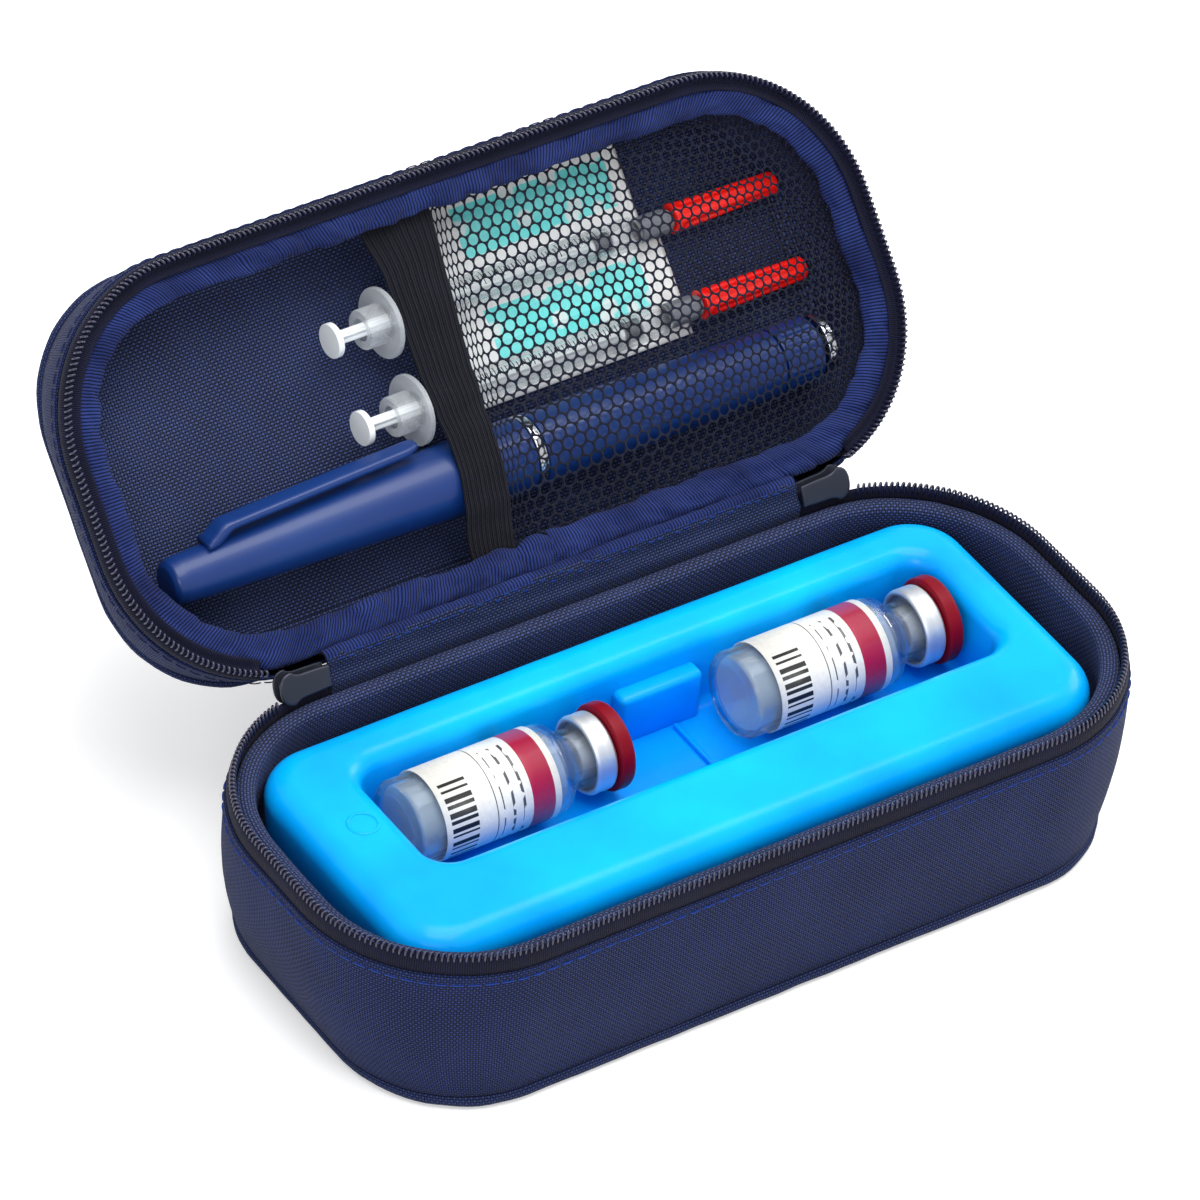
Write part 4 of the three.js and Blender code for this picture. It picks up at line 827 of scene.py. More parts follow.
    def sachet_print(self, tree, axes):
        """White film with an aqua field of soft drops inside its sealed, ridged border."""
        across, down = axes[0], axes[1]
        cloth = self.cloth_map(tree)
        ridges = calc(tree, "SINE", calc(tree, "MULTIPLY", across, 2 * math.pi / (1.1 * MM)))
        blots = set_inputs(tree, tree.nodes.new("ShaderNodeTexVoronoi"), Vector=cloth, Scale=150.0)
        spots = remapped(tree, blots["Distance"], 0.28, 0.36, 1.0, 0.0)
        inner = calc(
            tree, "MULTIPLY", self.between(tree, across, 14.6 * MM, 54.4 * MM),
            self.between(tree, down, 8.6 * MM, 20 * MM))
        stripe = self.between(tree, calc(tree, "FRACT", calc(tree, "DIVIDE", down, 5.4 * MM)), 0.0, 0.3)
        wash = remapped(tree, noise_of(tree, cloth, 60.0, 3.0), 0.35, 0.65)
        aqua = mixed(tree, wash, srgb(116, 244, 242), srgb(146, 250, 248))
        field = mixed(tree, spots, aqua, srgb(236, 250, 250))
        field = mixed(tree, calc(tree, "MULTIPLY", stripe, 0.18), field, srgb(70, 190, 204))
        colour = mixed(tree, inner, srgb(251, 252, 253), field)
        height = calc(tree, "MULTIPLY_ADD", ridges, 0.3, noise_of(tree, cloth, 120.0, 3.0))
        return colour, remapped(tree, wash, 0.0, 1.0, 0.26, 0.36), height, 0.0002


LOOKS = {}


def looks(context):
    """The materials, made when the first piece asks for them; there is no piece without the frame."""
    if not frame:
        raise RuntimeError("the packed frame isn't loaded")
    if "case" not in LOOKS:
        LOOKS["case"] = Looks(context.scene.cooling_case_colours)
    return LOOKS["case"]


# Fabric pieces

def flat_map(point):
    """The cloth map of a flat piece, as seen from above."""
    return (point.x, point.y)


def wall_fill(half, drop):
    """How far the outer wall stands out at a level between its top edge and the piping."""
    share = (drop - TAPE_SHOWING) / (half.depth - PIPING_ROOM - TAPE_SHOWING)
    return WALL_FULLNESS * math.sin(math.pi * min(1, share * 1.1))


def outer_wall(name, look):
    """Side band of outer fabric: a skin with a folded top edge, full like a filled bag."""
    half = HALVES[name]
    levels = [lerp(TAPE_SHOWING, half.depth - PIPING_ROOM, t) for t in steps(18)]
    rows = []
    for drop in levels:
        straight = half.ring(FABRIC_OUTSIDE, drop)
        full = half.ring(FABRIC_OUTSIDE - wall_fill(half, drop), drop)
        rows.append([
            p.lerp(q, smoothstep(3 * MM, 14 * MM, half.from_hinge(p))) for p, q in zip(straight, full)
        ])
    fold = [
        half.ring(lerp(FABRIC_OUTSIDE, FABRIC_INSIDE, 0.5) + 0.48 * MM * math.cos(math.pi * t),
                  TAPE_SHOWING - 0.3 * MM * math.sin(math.pi * t))
        for t in (0.0, 0.25, 0.5, 0.75)
    ]
    if name == "lid":
        for point in (p for row in fold + rows for p in row):
            point.y += 0.4 * MM * smoothstep(14 * MM, 3 * MM, half.from_hinge(point))
    inside = [half.ring(FABRIC_INSIDE, drop) for drop in (levels[-1], levels[9], levels[0])]
    form = Form()
    form.grid(inside + fold + rows + [inside[0]], around=True)
    made = form.finish(f"{name}_outer_wall", half.place)
    to_half = half.place.inverted()
    rumple(made, 0.32 * MM, 26 * MM, 3 if name == "base" else 8,
           lambda spot: smoothstep(2 * MM, 14 * MM, half.from_hinge(to_half @ spot)))
    dress(made, look.outer, name, [f"{name}_side_band"])


def topstitch(name, look):
    """Row of visible stitches under the top edge of the outer fabric."""
    half = HALVES[name]
    drop = TAPE_SHOWING + 1.7 * MM
    radius, thread = {"base": (0.22 * MM, look.thread), "lid": (0.15 * MM, look.dark_thread)}[name]
    form = Form()
    places = half.run(FABRIC_OUTSIDE - wall_fill(half, drop), drop, 3.5 * MM)
    for i, (point, along, outwards) in enumerate(places):
        wander = Vector((0, 0, 0.14 * MM * noise.noise(Vector((i * 0.37, 1.7, 0)))))
        tube(form, [
            point + along * (1.3 * MM * t) + outwards * (0.16 * MM * (1 - t * t) - 0.08 * MM) + wander
            for t in (-1, -0.6, 0, 0.6, 1)
        ], radius, 6)
    dress(form.finish(f"{name}_topstitch", half.place), thread, name)


def piping_roll(name, look):
    """Bound seam roll along the panel's edge, a little uneven."""
    half = HALVES[name]
    form = Form()
    form.grid([
        half.ring(PIPING_INSET + PIPING_RADIUS * math.cos(a) * 0.98,
                  half.depth - 1.7 * MM + PIPING_RADIUS * math.sin(a))
        for a in (2 * math.pi * t for t in steps(12))
    ], around=True)
    made = form.finish(f"{name}_piping_roll", half.place)
    rumple(made, 0.16 * MM, 7 * MM, 5)
    dress(made, look.piping, name, [f"{name}_piping"])


def sewn_panel(name, look):
    """Bottom of the base or top of the lid, crowned where it doesn't carry the case."""
    half = HALVES[name]
    inset = PIPING_INSET + PIPING_RADIUS + 0.15 * MM
    outside = half.disc(inset, half.depth - 0.05 * MM, crown=-0.9 * MM if name == "lid" else 0.0)
    inside = half.disc(inset, half.depth - 1.5 * MM, rings=3)
    form = Form()
    form.grid(outside[::-1] + inside, around=True, flat=flat_map)
    made = form.finish(f"{name}_panel_fabric", half.place)
    if name == "lid":
        rumple(made, 0.3 * MM, 24 * MM, 11)
    node = "base_bottom_panel" if name == "base" else "lid_top_panel"
    dress(made, look.outer, name, [node])


def padded_liner(name, look):
    """Foam wall and floor in their lining, as one quilted shell with a rolled upper edge."""
    half = HALVES[name]
    floor_drop, top, foam_edge, seed = {
        "base": (BASE_FLOOR_DROP, 0.5 * MM, FOAM_OUTSIDE, 2),
        "lid": (LID_FLOOR_DROP, 3.8 * MM, 1.0 * MM, 14),
    }[name]
    roll, turn = 1.6 * MM, 2 * MM
    under, wall_end = half.depth - 1.9 * MM, floor_drop - turn
    middle, reach = (foam_edge + LINING_INSIDE) / 2, (LINING_INSIDE - foam_edge) / 2
    rows = [half.ring(FOAM_OUTSIDE, lerp(under, 5 * MM, t)) for t in steps(6)]
    for t in steps(8):
        a = math.pi * t
        rows.append(half.ring(middle - reach * math.cos(a), top + roll * (1 - math.sin(a))))
    for t in steps(16)[1:]:
        sag = 0.25 * MM * math.sin(math.pi * t)
        rows.append(half.ring(LINING_INSIDE - sag, lerp(top + roll, wall_end, t)))
    for t in (0.33, 0.66, 1.0):
        a = math.pi / 2 * t
        rows.append(half.ring(LINING_INSIDE + turn * (1 - math.cos(a)), wall_end + turn * math.sin(a)))
    form = Form()
    form.grid(rows, around=True)
    form.grid(half.disc(LINING_INSIDE + turn, floor_drop, rings=16), around=True, flat=flat_map)
    form.grid(half.disc(FOAM_OUTSIDE, under, rings=2), around=True, flat=flat_map)
    made = form.finish(f"{name}_padded_liner", half.place)
    to_half = half.place.inverted()

    def folds(spot):
        """Deeper folds at the ends and in the corners, next to none under the tray."""
        local = to_half @ spot
        if name == "base" and -local.z > floor_drop - 4 * MM:
            return 0.1
        ends = smoothstep(0.55, 0.95, abs(local.x) * 2 / CASE_LENGTH)
        return 0.35 + 1.5 * ends * smoothstep(2 * MM, 9 * MM, -local.z)

    rumple(made, 0.55 * MM, 15 * MM, seed, folds)
    rumple(made, 0.28 * MM, 5.5 * MM, 21, lambda spot: max(0.0, folds(spot) - 0.5))
    dress(made, look.lining, name, [f"{name}_lining", f"{name}_foam_liner"])


def zip_tape(name, look):
    """Woven tape between the outer fabric and the teeth, with a raised cord under the teeth.

    The lid's tape also lies a little way over the binding. The base's runs on upright inside the
    sliders. The outline is (inset, drop) in millimetres.
    """
    half = HALVES[name]
    outline = [
        (-0.42, 8.0), (-0.62, 3.4), (-0.95, 2.6), (-1.2, 1.4), (-1.1, 0.1), (-0.8, -0.8),
        (-0.25, -1.15), (0.35, -1.0),
    ]
    if name == "lid":
        outline += [
            (0.75, -0.1), (1.4, 0.2), (2.0, -0.2), (2.6, -0.45), (3.1, -0.6), (3.25, -0.45),
            (3.1, -0.25), (2.6, -0.1), (2.0, 0.15), (1.4, 0.6), (0.62, 1.1),
        ]
    else:
        outline.append((0.62, -0.1))
    outline += [(0.42, 1.4), (0.42, 8.0)]
    rows = []
    for inset, drop in outline:
        thinner = max(-0.35, min(0.35, inset)) - inset
        ring = half.ring(inset * MM, drop * MM)
        if not rows:
            keep = [
                i for i, p in enumerate(ring) if abs(p.x) >= TAPE_TAILS[name] or not half.at_hinge(p)
            ]
        row = [ring[i] for i in keep]
        for point in row:
            if half.at_hinge(point) and drop < 3:
                in_slider = smoothstep(75 * MM, 73.4 * MM, abs(point.x))
                point.y -= half.hinge_side * thinner * in_slider * MM
                if name == "base" and drop < 0.5:
                    upright = smoothstep(67 * MM, 63.5 * MM, abs(point.x))
                    point += Vector((0, 1.4 * MM, 3.1 * MM)) * upright
        rows.append(row)
    form = Form()
    form.close([*zip(*form.grid(rows + [rows[0]])[:-1])])
    made = form.finish(f"{name}_zip_tape_weave", half.place)
    dress(made, look.tape, name, [f"{name}_zip_tape"])


def zip_teeth(name, look, pitch):
    """Coil of the zip: one loop per tooth, leaning the same way, with its foot in the tape."""
    half = HALVES[name]
    up = Vector((0, 0, MM))
    loop = [(-0.5, 0.1), (-0.52, 1.2), (-0.46, 1.9), (-0.2, 2.28), (0.2, 2.28), (0.46, 1.9),
            (0.52, 1.2), (0.5, 0.1)]
    form = Form()
    phase = -0.25 if name == "base" else 0.25
    for point, along, outwards in half.run(0, 0, pitch, phase, TEETH_START):
        lean = along * (0.56 * MM) - outwards * MM
        tube(form, [point + lean * x + up * z for x, z in loop], 0.27 * MM, 7)
    cord = [place[0] + up * 0.25 for place in half.run(0, 0, 3 * MM, start=TEETH_START)]
    tube(form, cord, 0.42 * MM)
    made = form.finish(f"{name}_zip_teeth", half.place, merge=1e-7)
    dress(made, look.teeth, name, [f"{name}_zip_chain"])


def binding_roll(look):
    """Gathered binding over the lid's inner edge: a soft roll drawn up into puckers."""
    inner, outer, count = 0.95 * MM, 8.6 * MM, 1400
    rows = []
    for t in steps(24):
        c, s = math.cos(2 * math.pi * t), math.sin(2 * math.pi * t)
        inset, drop = (inner + outer + (outer - inner) * c) / 2, 1.55 * MM + 1.85 * MM * s
        row = []
        for k, point in enumerate(resampled(LID.ring(inset, drop), count)):
            share = k / count
            pucker = noise.noise(Vector((share * 74, c * 0.7, s * 0.7)))
            ruck = 1 - abs(noise.noise(Vector((share * 60, c * 1.2, 4.0)))) * 3
            fine = noise.noise(Vector((share * 260, c * 0.5, 8.0)))
            swell = MM * (0.5 * pucker * (1.2 + c) - 0.6 * max(0.0, ruck) + 0.12 * fine)
            inward = (Vector((0, LID.centre, point.z)) - point).normalized()
            row.append(point + inward * (swell * c) - Vector((0, 0, swell * s)))
        rows.append(row)
    form = Form()
    form.grid(rows, around=True)
    made = form.finish("lid_binding_roll", LID.place)
    dress(made, look.binding, "lid", ["lid_binding_ring"])


def cover_height(from_hinge):
    """Height of the stretched cover over the lid's contents."""
    value = from_hinge / MM
    for (a, low), (b, high) in zip(COVER_LINE, COVER_LINE[1:]):
        if value <= b:
            return lerp(low, high, smoothstep(a, b, value)) * MM
    return -COVER_EDGE_DROP


def from_hem(x, y):
    """Distance in from the cover's sewn edge."""
    past_x = max(abs(x) - (CASE_LENGTH / 2 - CORNER_RADIUS), 0)
    past_y = max(abs(y - LID_CENTRE) - (CASE_WIDTH / 2 - CORNER_RADIUS), 0)
    return CORNER_RADIUS - COVER_INSET - math.hypot(past_x, past_y)


def net_height(x, y):
    """The net's drape: level at its hem, raised over the pen, sagging between the syringes."""
    ridge = sum(0.5 * MM * math.exp(-((y - axis) / (4 * MM)) ** 2) for axis in SYRINGE_AXES.values())
    sag = 0.35 * MM * noise.noise(Vector((x * 40, y * 40, 4.2)))
    inner = smoothstep(0, 12 * MM, from_hem(x, y))
    return lerp(-COVER_EDGE_DROP, cover_height(y) + ridge * inner * 0.6 + sag * inner, inner)


def band_share(y):
    """How far a place lies along the band, from the hinge's end to the other."""
    return (y - COVER_NEAR) / (COVER_FAR - COVER_NEAR)


def band_right(y):
    """The band's right edge, which slants away from the hinge."""
    return lerp(BAND_RIGHT_NEAR, BAND_RIGHT_FAR, band_share(y))


def band_left(y):
    """The band's left edge, pushed aside by the syringes' flanges."""
    share = band_share(y)
    return BAND_LEFT + BAND_BOW * smoothstep(0, 0.35, share) * (1 - smoothstep(0.82, 1, share))


def elastic_ribbon(look):
    """Wide elastic strap over the pen and syringes, ribbed along its length."""
    top = []
    for t in steps(70):
        y = lerp(COVER_NEAR, COVER_FAR, t)
        z = net_height(BAND_LEFT, y)
        pinch = 0.35 * MM * smoothstep(0.1, 0.0, min(t, 1 - t))
        row = []
        for s in steps(64):
            x = lerp(band_left(y) + pinch, band_right(y) - pinch, s)
            cupped = 0.25 * MM * (2 * s - 1) ** 2
            cord = 0.09 * MM * math.cos(2 * math.pi * s * 9.5 + 0.5 * math.sin(y * 300))
            row.append(Vector((x, y, z + 0.42 * MM - cupped + cord)))
        top.append(row)
    thick = Vector((0, 0, 0.9 * MM))
    form = Form()
    form.close(form.grid([row + [point - thick for point in row[::-1]] for row in top], around=True))
    made = form.finish("elastic_ribbon", LID_PLACE)
    dress(made, look.elastic, "lid", ["elastic_band"])


def net_lattice(pitch):
    """Places of the net's columns: close together where it is gathered beside the band."""
    places = [BAND_RIGHT_NEAR - pitch]
    while places[-1] < CASE_LENGTH / 2:
        run = places[-1] - BAND_RIGHT_NEAR
        gathered = lerp(0.42, 1.16, smoothstep(1.5 * MM, 6 * MM, run))
        places.append(places[-1] + pitch * lerp(gathered, 0.8, smoothstep(25 * MM, 85 * MM, run)))
    return places


def net_sheet(look, pitch):
    """Mesh pocket: a draped sheet of round holes in six-sided cells, pulled by what it holds."""
    form = Form()
    tall = math.sqrt(3) / 2
    places = net_lattice(pitch)
    last = len(places) - 1
    rows = int((COVER_FAR - COVER_NEAR) / (pitch * tall) / 0.84) + 4

    def put(column, row):
        """Place in the lid of a point of the net given in columns and rows."""
        column = max(0.0, min(last - 1e-6, column))
        low = int(column)
        x = lerp(places[low], places[low + 1], column - low)
        right = smoothstep(20 * MM, 85 * MM, x)
        y = LID_CENTRE + (row - rows / 2) * (pitch * tall) * lerp(1.08, 0.86, right)
        slant = (band_right(y) - BAND_RIGHT_NEAR) * (1 - smoothstep(0, 60 * MM, x - BAND_RIGHT_NEAR))
        sway = 0.5 * MM * noise.noise(Vector((x * 45, y * 45, 3.0)))
        return x + slant + sway, y + sway

    def ring(column, row, reaches):
        """Twelve points round a cell's middle, draped."""
        points = []
        for k, reach in enumerate(reaches):
            angle = math.pi / 6 * (k + 1)
            x, y = put(column + reach * math.cos(angle), row + reach * math.sin(angle) / tall)
            points.append(Vector((x, y, net_height(x, y))))
        return points

    border = [0.5 / math.cos((math.pi / 6 * (k + 2)) % (math.pi / 3) - math.pi / 6) for k in range(12)]
    for r in range(rows + 1):
        for c in range(last):
            column = c + (r % 2) / 2
            x, y = put(column, r)
            if from_hem(x, y) < pitch * 0.12 or x < band_right(y) - 1.2 * MM:
                continue
            cell = ring(column, r, border)
            form.grid([cell, ring(column, r, [NET_HOLE] * 12)], around=True, flat=flat_map)
    made = form.finish("net_sheet", merge=0.02 * MM)
    solidify = made.modifiers.new("cord", "SOLIDIFY")
    solidify.thickness = NET_CORD
    solidify.offset = 0
    apply_modifiers(made)
    made.data.transform(LID_PLACE)
    made.data.shade_smooth()
    dress(made, look.net, "lid", ["net_pocket"])


def hinge_cloth(look):
    """Hinge of outer fabric: from the base's slot over the hinge line and round the lid's rim.

    The cloth is drawn for the open lid.
    """
    rim = [(3.6, -6.0), (3.1, -3.4), (2.8, -1.6), (2.75, -0.4), (2.4, 0.35), (1.6, 0.6), (0.5, 0.3)]
    top = [LID_PLACE @ Vector((0, y * MM, z * MM)) for y, z in rim]
    start = Vector((0, CASE_WIDTH / 2 - 0.1 * MM, BASE_HEIGHT - 7.5 * MM))
    knee = Vector((0, CASE_WIDTH / 2 - 0.55 * MM, BASE_HEIGHT + 1.4 * MM))
    line = [start, start.lerp(knee, 0.5), start.lerp(knee, 0.85), knee]
    for t in steps(9)[1:-1]:
        line.append(knee.lerp(top[-1], t) + Vector((0, 0.3 * MM, -0.3 * MM)) * math.sin(math.pi * t))
    line += top[::-1]
    lengths = path_lengths(line)
    front, back = [], []
    for t in steps(46):
        point, run = on_path(line, lengths, t * lengths[-1])
        out = Vector((0, -run.z, run.y)).normalized()
        gather = smoothstep(0.3, 0.5, t) * (1 - smoothstep(0.9, 1.0, t))
        front.append([])
        back.append([])
        for s in steps(260):
            x = lerp(-1, 1, s) * (HINGE_LENGTH / 2 + 0.5 * MM)
            fold = noise.noise(Vector((x * 26, t * 2.4, 2.0)))
            crease = 1 - abs(noise.noise(Vector((x * 34 + t * 1.6, t * 5.0, 9.0)))) * 2.6
            pucker = 0.5 * MM * fold + 0.3 * MM * max(0.0, crease)
            pucker += 0.12 * MM * noise.noise(Vector((x * 420, t * 7.0, 7.0)))
            near_end = min(1.0, min(s, 1 - s) * 40)
            moved = pucker * gather * (0.35 + 0.65 * near_end)
            spot = Vector((x, point.y, point.z))
            front[-1].append(spot + out * (0.42 * MM + moved))
            back[-1].append(spot + out * (moved - 0.2 * MM))
    form = Form()
    form.close([*zip(*form.grid(front + back[::-1] + [front[0]])[:-1])])
    made = form.finish("hinge_cloth")
    dress(made, [look.hinge, look.binding], None, ["hinge_panel", "lid_hinge_strip"])
    to_lid = LID_PLACE.inverted()
    for polygon in made.data.polygons:
        spot = to_lid @ made.data.vertices[polygon.vertices[0]].co
        if spot.y > 1.1 * MM and spot.z > -1.5 * MM:
            polygon.material_index = 1
    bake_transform(made)
    hinge_stitches(look, front[-18])


def hinge_stitches(look, row):
    """Bright thick stitches that hold the cloth under the lid's rim, drawn up a little unevenly."""
    out, up = Vector((0, -0.72, 0.69)), Vector((0, 0.69, 0.72))
    form = Form()
    for k in range(6, len(row) - 8, 5):
        lift = 0.5 * MM * math.sin(k * 1.7) + 0.3 * MM * math.sin(k * 0.41)
        path = []
        for t in steps(4):
            place = k + 3 * t
            point = row[int(place)].lerp(row[int(place) + 1], place % 1)
            path.append(point + out * (0.14 * MM * math.sin(math.pi * t) + 0.02 * MM) + up * lift)
        tube(form, path, 0.17 * MM, 6)
    dress(form.finish("hinge_stitches"), look.thread, "lid")


# Contents, in the lid's frame or upright in the base

def outline_of(rows):
    """The points round the border of a sheet of rows."""
    ends, starts = [row[-1] for row in rows[1:]], [row[0] for row in rows[-2:0:-1]]
    return rows[0] + ends + rows[-1][-2::-1] + starts


def sachet_pillow(name, look):
    """Flat sealed sachet: crimped seams all round a soft, slightly creased pillow."""
    left, near, length, width = SACHETS[name]
    seam, floor = 2.6 * MM, LID_FLOOR + CLEARANCE
    top, bottom = [], []
    for j in steps(30):
        top.append([])
        bottom.append([])
        for i in steps(64):
            x, y = left + length * i, near + width * j
            edge = min(min(i, 1 - i) * length, min(j, 1 - j) * width)
            fill = smoothstep(seam, seam * 2.6, edge)
            crease = 0.16 * MM * noise.noise(Vector((x * 170, y * 170, 3.0))) * fill
            seam_ridge = 0.05 * MM * math.sin(x * 2 * math.pi / (1.1 * MM)) * (1 - fill)
            height = 0.34 * MM + 0.55 * MM * fill + crease + seam_ridge
            top[-1].append(Vector((x, y, floor + height)))
            bottom[-1].append(Vector((x, y, floor)))
    form = Form()
    for rows in (top, bottom):
        form.grid(rows, flat=lambda p: (p.x - left, p.y - near))
    form.grid([outline_of(top), outline_of(bottom)], around=True, flat=lambda p: (0, 0))
    made = form.finish(f"sachet_{name}_pillow", LID_PLACE)
    dress(made, look.sachet, "lid", [f"sachet_{name}"])


def pen_place():
    """The pen's axis in the lid, from the tip of its cap."""
    return LID_PLACE @ Matrix.Translation((PEN_LEFT, PEN_AXIS, LID_FLOOR + CLEARANCE + PEN_RADIUS))


def pen_cap_radius(along):
    """The cap widens evenly from its tip."""
    return lerp(5.2 * MM, PEN_RADIUS, min(along / (74 * MM), 1))


def pen_pieces(look):
    """Cap with its clip, silver ring, body, ridged dose knob and button."""
    place = pen_place()
    cap = [(0, 0), (0, 3.8), (0.9, 4.9)]
    cap += [(a, pen_cap_radius(a * MM) / MM) for a in (3, 20, 38, 56, 74)]
    cap += [(86.6, 8.3), (87, 8.15), (87.4, 8.3), (89, 8.3), (89, 6.6), (52.7, 6.6), (52.7, 0)]
    ring = [(89.3, 6.6), (89.3, 8.2), (91.5, 8.2), (91.5, 6.6), (89.3, 6.6)]
    barrel = [(53, 0), (53, 6.3), (91.8, 6.3), (91.8, 8.1), (122, 7.85), (122.4, 7.7), (122.8, 7.83),
              (153.4, 7.5), (154.2, 7.2), (154.2, 0)]
    knob = [(160.7, 4.3), (154.5, 4.3), (154.5, 7.4)]
    knob += [(a, 7.4) for a in (155.2, 155.8, 156.4, 158, 160, 162.4, 163, 163.6)]
    knob += [(164.1, 7.3), (164.1, 4.3), (160.7, 4.3)]
    button = [(163.7, 0), (163.7, 4), (165.6, 4), (165.6, 6.9), (167.6, 6.9), (168, 6.4), (167.8, 5.4),
              (167.7, 0)]
    turned_set("pen", place, [
        ("cap_shell", "cap", cap, look.pen, "lid", "pen_plastic", 96, 0.4),
        ("ring_band", "ring", ring, look.silver, "lid", "pen_silver", 96, 0.45),
        ("body_barrel", "body", barrel, look.pen, "lid", "pen_plastic", 96, 0.3),
        ("knob_ridged", "dose_knob", knob, look.pen, "dose_knob", "pen_plastic", 168, 0.25,
         grooves(0.022, 28, (155.3, 156.2), (163.6, 162.8))),
        ("button_cap", "dose_button", button, look.silver, "dose_button", "pen_silver", 96, 0.3),
    ])
    pen_clip(look, place)


def pen_clip(look, place):
    """Sprung clip: it leaves the cap in a curve, narrows along its length and turns up at its tip."""
    rows = []
    for t in steps(44):
        along = lerp(10 * MM, 63 * MM, t)
        cap, tip = pen_cap_radius(along), smoothstep(0.93, 1.0, t)
        under = cap + lerp(-0.3 * MM, 2.3 * MM, smoothstep(0.04, 0.13, t)) + 0.6 * MM * tip
        over = cap + lerp(1.6 * MM, 4.4 * MM, smoothstep(0, 0.09, t)) + 0.1 * MM * tip
        half_width = lerp(2.7 * MM, 2.3 * MM, t) * (1 - 0.3 * smoothstep(0.96, 1, t))
        section = []
        for angle in (2 * math.pi * k / 20 for k in range(20)):
            c, s = math.cos(angle), math.sin(angle)
            section.append(Vector((
                along,
                half_width * math.copysign(abs(c) ** 0.55, c),
                lerp(under, over, 0.5 + 0.5 * math.copysign(abs(s) ** 0.6, s)),
            )))
        rows.append(section)
    form = Form()
    form.close(form.grid(rows, around=True))
    made = form.finish("pen_clip_spring", place @ Matrix.Rotation(math.radians(-60), 4, "X"))
    dress(made, look.pen, "lid", ["pen_clip"])


def syringe_place(name):
    """The syringe's axis in the lid, tilted to lie on its flange and on the tip of its cap."""
    tilt = math.asin((FLANGE_RADIUS - NEEDLE_CAP_TIP_RADIUS) / NEEDLE_CAP_END)
    rest = (SYRINGE_FLANGE_X, SYRINGE_AXES[name], LID_FLOOR + CLEARANCE + FLANGE_RADIUS)
    return LID_PLACE @ Matrix.Translation(rest) @ Matrix.Rotation(tilt, 4, "Y")


def syringe_pieces(name, look):
    """Barrel with graduations, plunger with thumb disc, seal, hub with needle and ribbed red cap."""
    owner, plunger, place = f"syringe_{name}", f"plunger_{name}", syringe_place(name)
    barrel = [(66.9, 0), (66.9, 2.6), (-5, 2.6), (-5, 4.3), (-4.6, 4.5), (0, 4.5), (0, 8), (1.3, 8),
              (1.3, 4.2), (2.2, 3.7), (66.6, 3.7), (68, 2.6), (68, 1.9), (70.4, 1.8), (70.4, 0)]
    made = turned_piece(
        f"{owner}_barrel_tube", barrel, [look.barrel, look.milky], "lid", "clear_plastic", place,
        [f"{owner}_barrel"], 72, 0.3)
    to_syringe = place.inverted()
    for polygon in made.data.polygons:
        if (to_syringe @ polygon.center).x < 2.2 * MM:
            polygon.material_index = 1
    graduations(name, look, place)
    rod = [(-13, 0), (-13, 3.9), (-11.5, 3.9)]
    rod += [(a, 1.5) for a in (-11.5, -11, -10.6, -10.2, 20, 53.8, 54.3, 54.4)]
    rod += [(54.4, 2.2), (55.6, 2.2), (55.6, 0)]
    seal = [(55.9, 0), (55.9, 2.3), (56.8, 2.3), (57.3, 1.9), (59, 1.9), (59.5, 2.3), (60.4, 2.1),
            (60.4, 0)]
    hub = [(70.7, 0), (70.7, 2.2), (68.3, 2.2), (68.3, 2.9), (74.8, 2.9), (75.6, 2.5), (76.7, 2.3),
           (76.7, 0.35), (85.5, 0.35), (85.7, 0)]
    cap = [(105, 0), (105, 2.2), (104.4, 2.7)]
    cap += [(a, lerp(3.4, 2.72, (a - 77) / 27)) for a in (101, 90, 80, 78.6, 78)]
    cap += [(77, 3.4), (77, 1.4), (103, 1.4), (103, 0)]
    turned_set(owner, place, [
        ("plunger_rod", "plunger", rod, look.white, plunger, "white_plastic", 72, 0.2,
         grooves(0.42, 4, (-11, -10.2), (54.3, 53.8), 0.75, math.pi)),
        ("rubber_seal", "seal", seal, look.seal, plunger, "black_rubber", 48, 0.2),
        ("hub_needle", "needle_hub", hub, look.hub, "lid", "hub_plastic", 72, 0.2,
         grooves(0.08, 12, (69, 69.6), (75, 74.4))),
        ("cap_ribbed", "needle_cap", cap, look.red, "lid", "red_plastic", 96, 0.3,
         grooves(0.12, 8, (78, 80), (104.4, 101), 1.5)),
    ])


def graduations(name, look, place):
    """Printed scale: short and long curved strokes along the barrel, without figures."""
    form = Form()
    outside, half_width = 3.76 * MM, 0.11 * MM
    inside = outside * 0.992
    turn = math.radians(58 if name == "upper" else 66)
    corners = [(-1, outside), (1, outside), (1, inside), (-1, inside), (-1, outside)]
    for i in range(51):
        reach = 0.95 if i % 10 == 0 else (0.7 if i % 5 == 0 else 0.42)
        angles = [turn + reach * (t - 0.5) for t in steps(8)]
        rows = []
        for side, r in corners:
            along = (6 + i) * MM + side * half_width
            rows.append([Vector((along, r * math.cos(a), r * math.sin(a))) for a in angles])
        form.grid(rows)
    made = form.finish(f"syringe_{name}_graduations", place, merge=1e-8)
    dress(made, look.ink, "lid")


# Ice tray and vials

def tray_ring(length, width, radius, inset, z, centre=Vector((0, 0, 0))):
    """Level rounded rectangle, inset from the given size."""
    ring = rounded_ring(length - 2 * inset, width - 2 * inset, max(radius - inset, 1.2 * MM))
    return [Vector((p.x + centre.x, p.y + centre.y, z)) for p in ring]


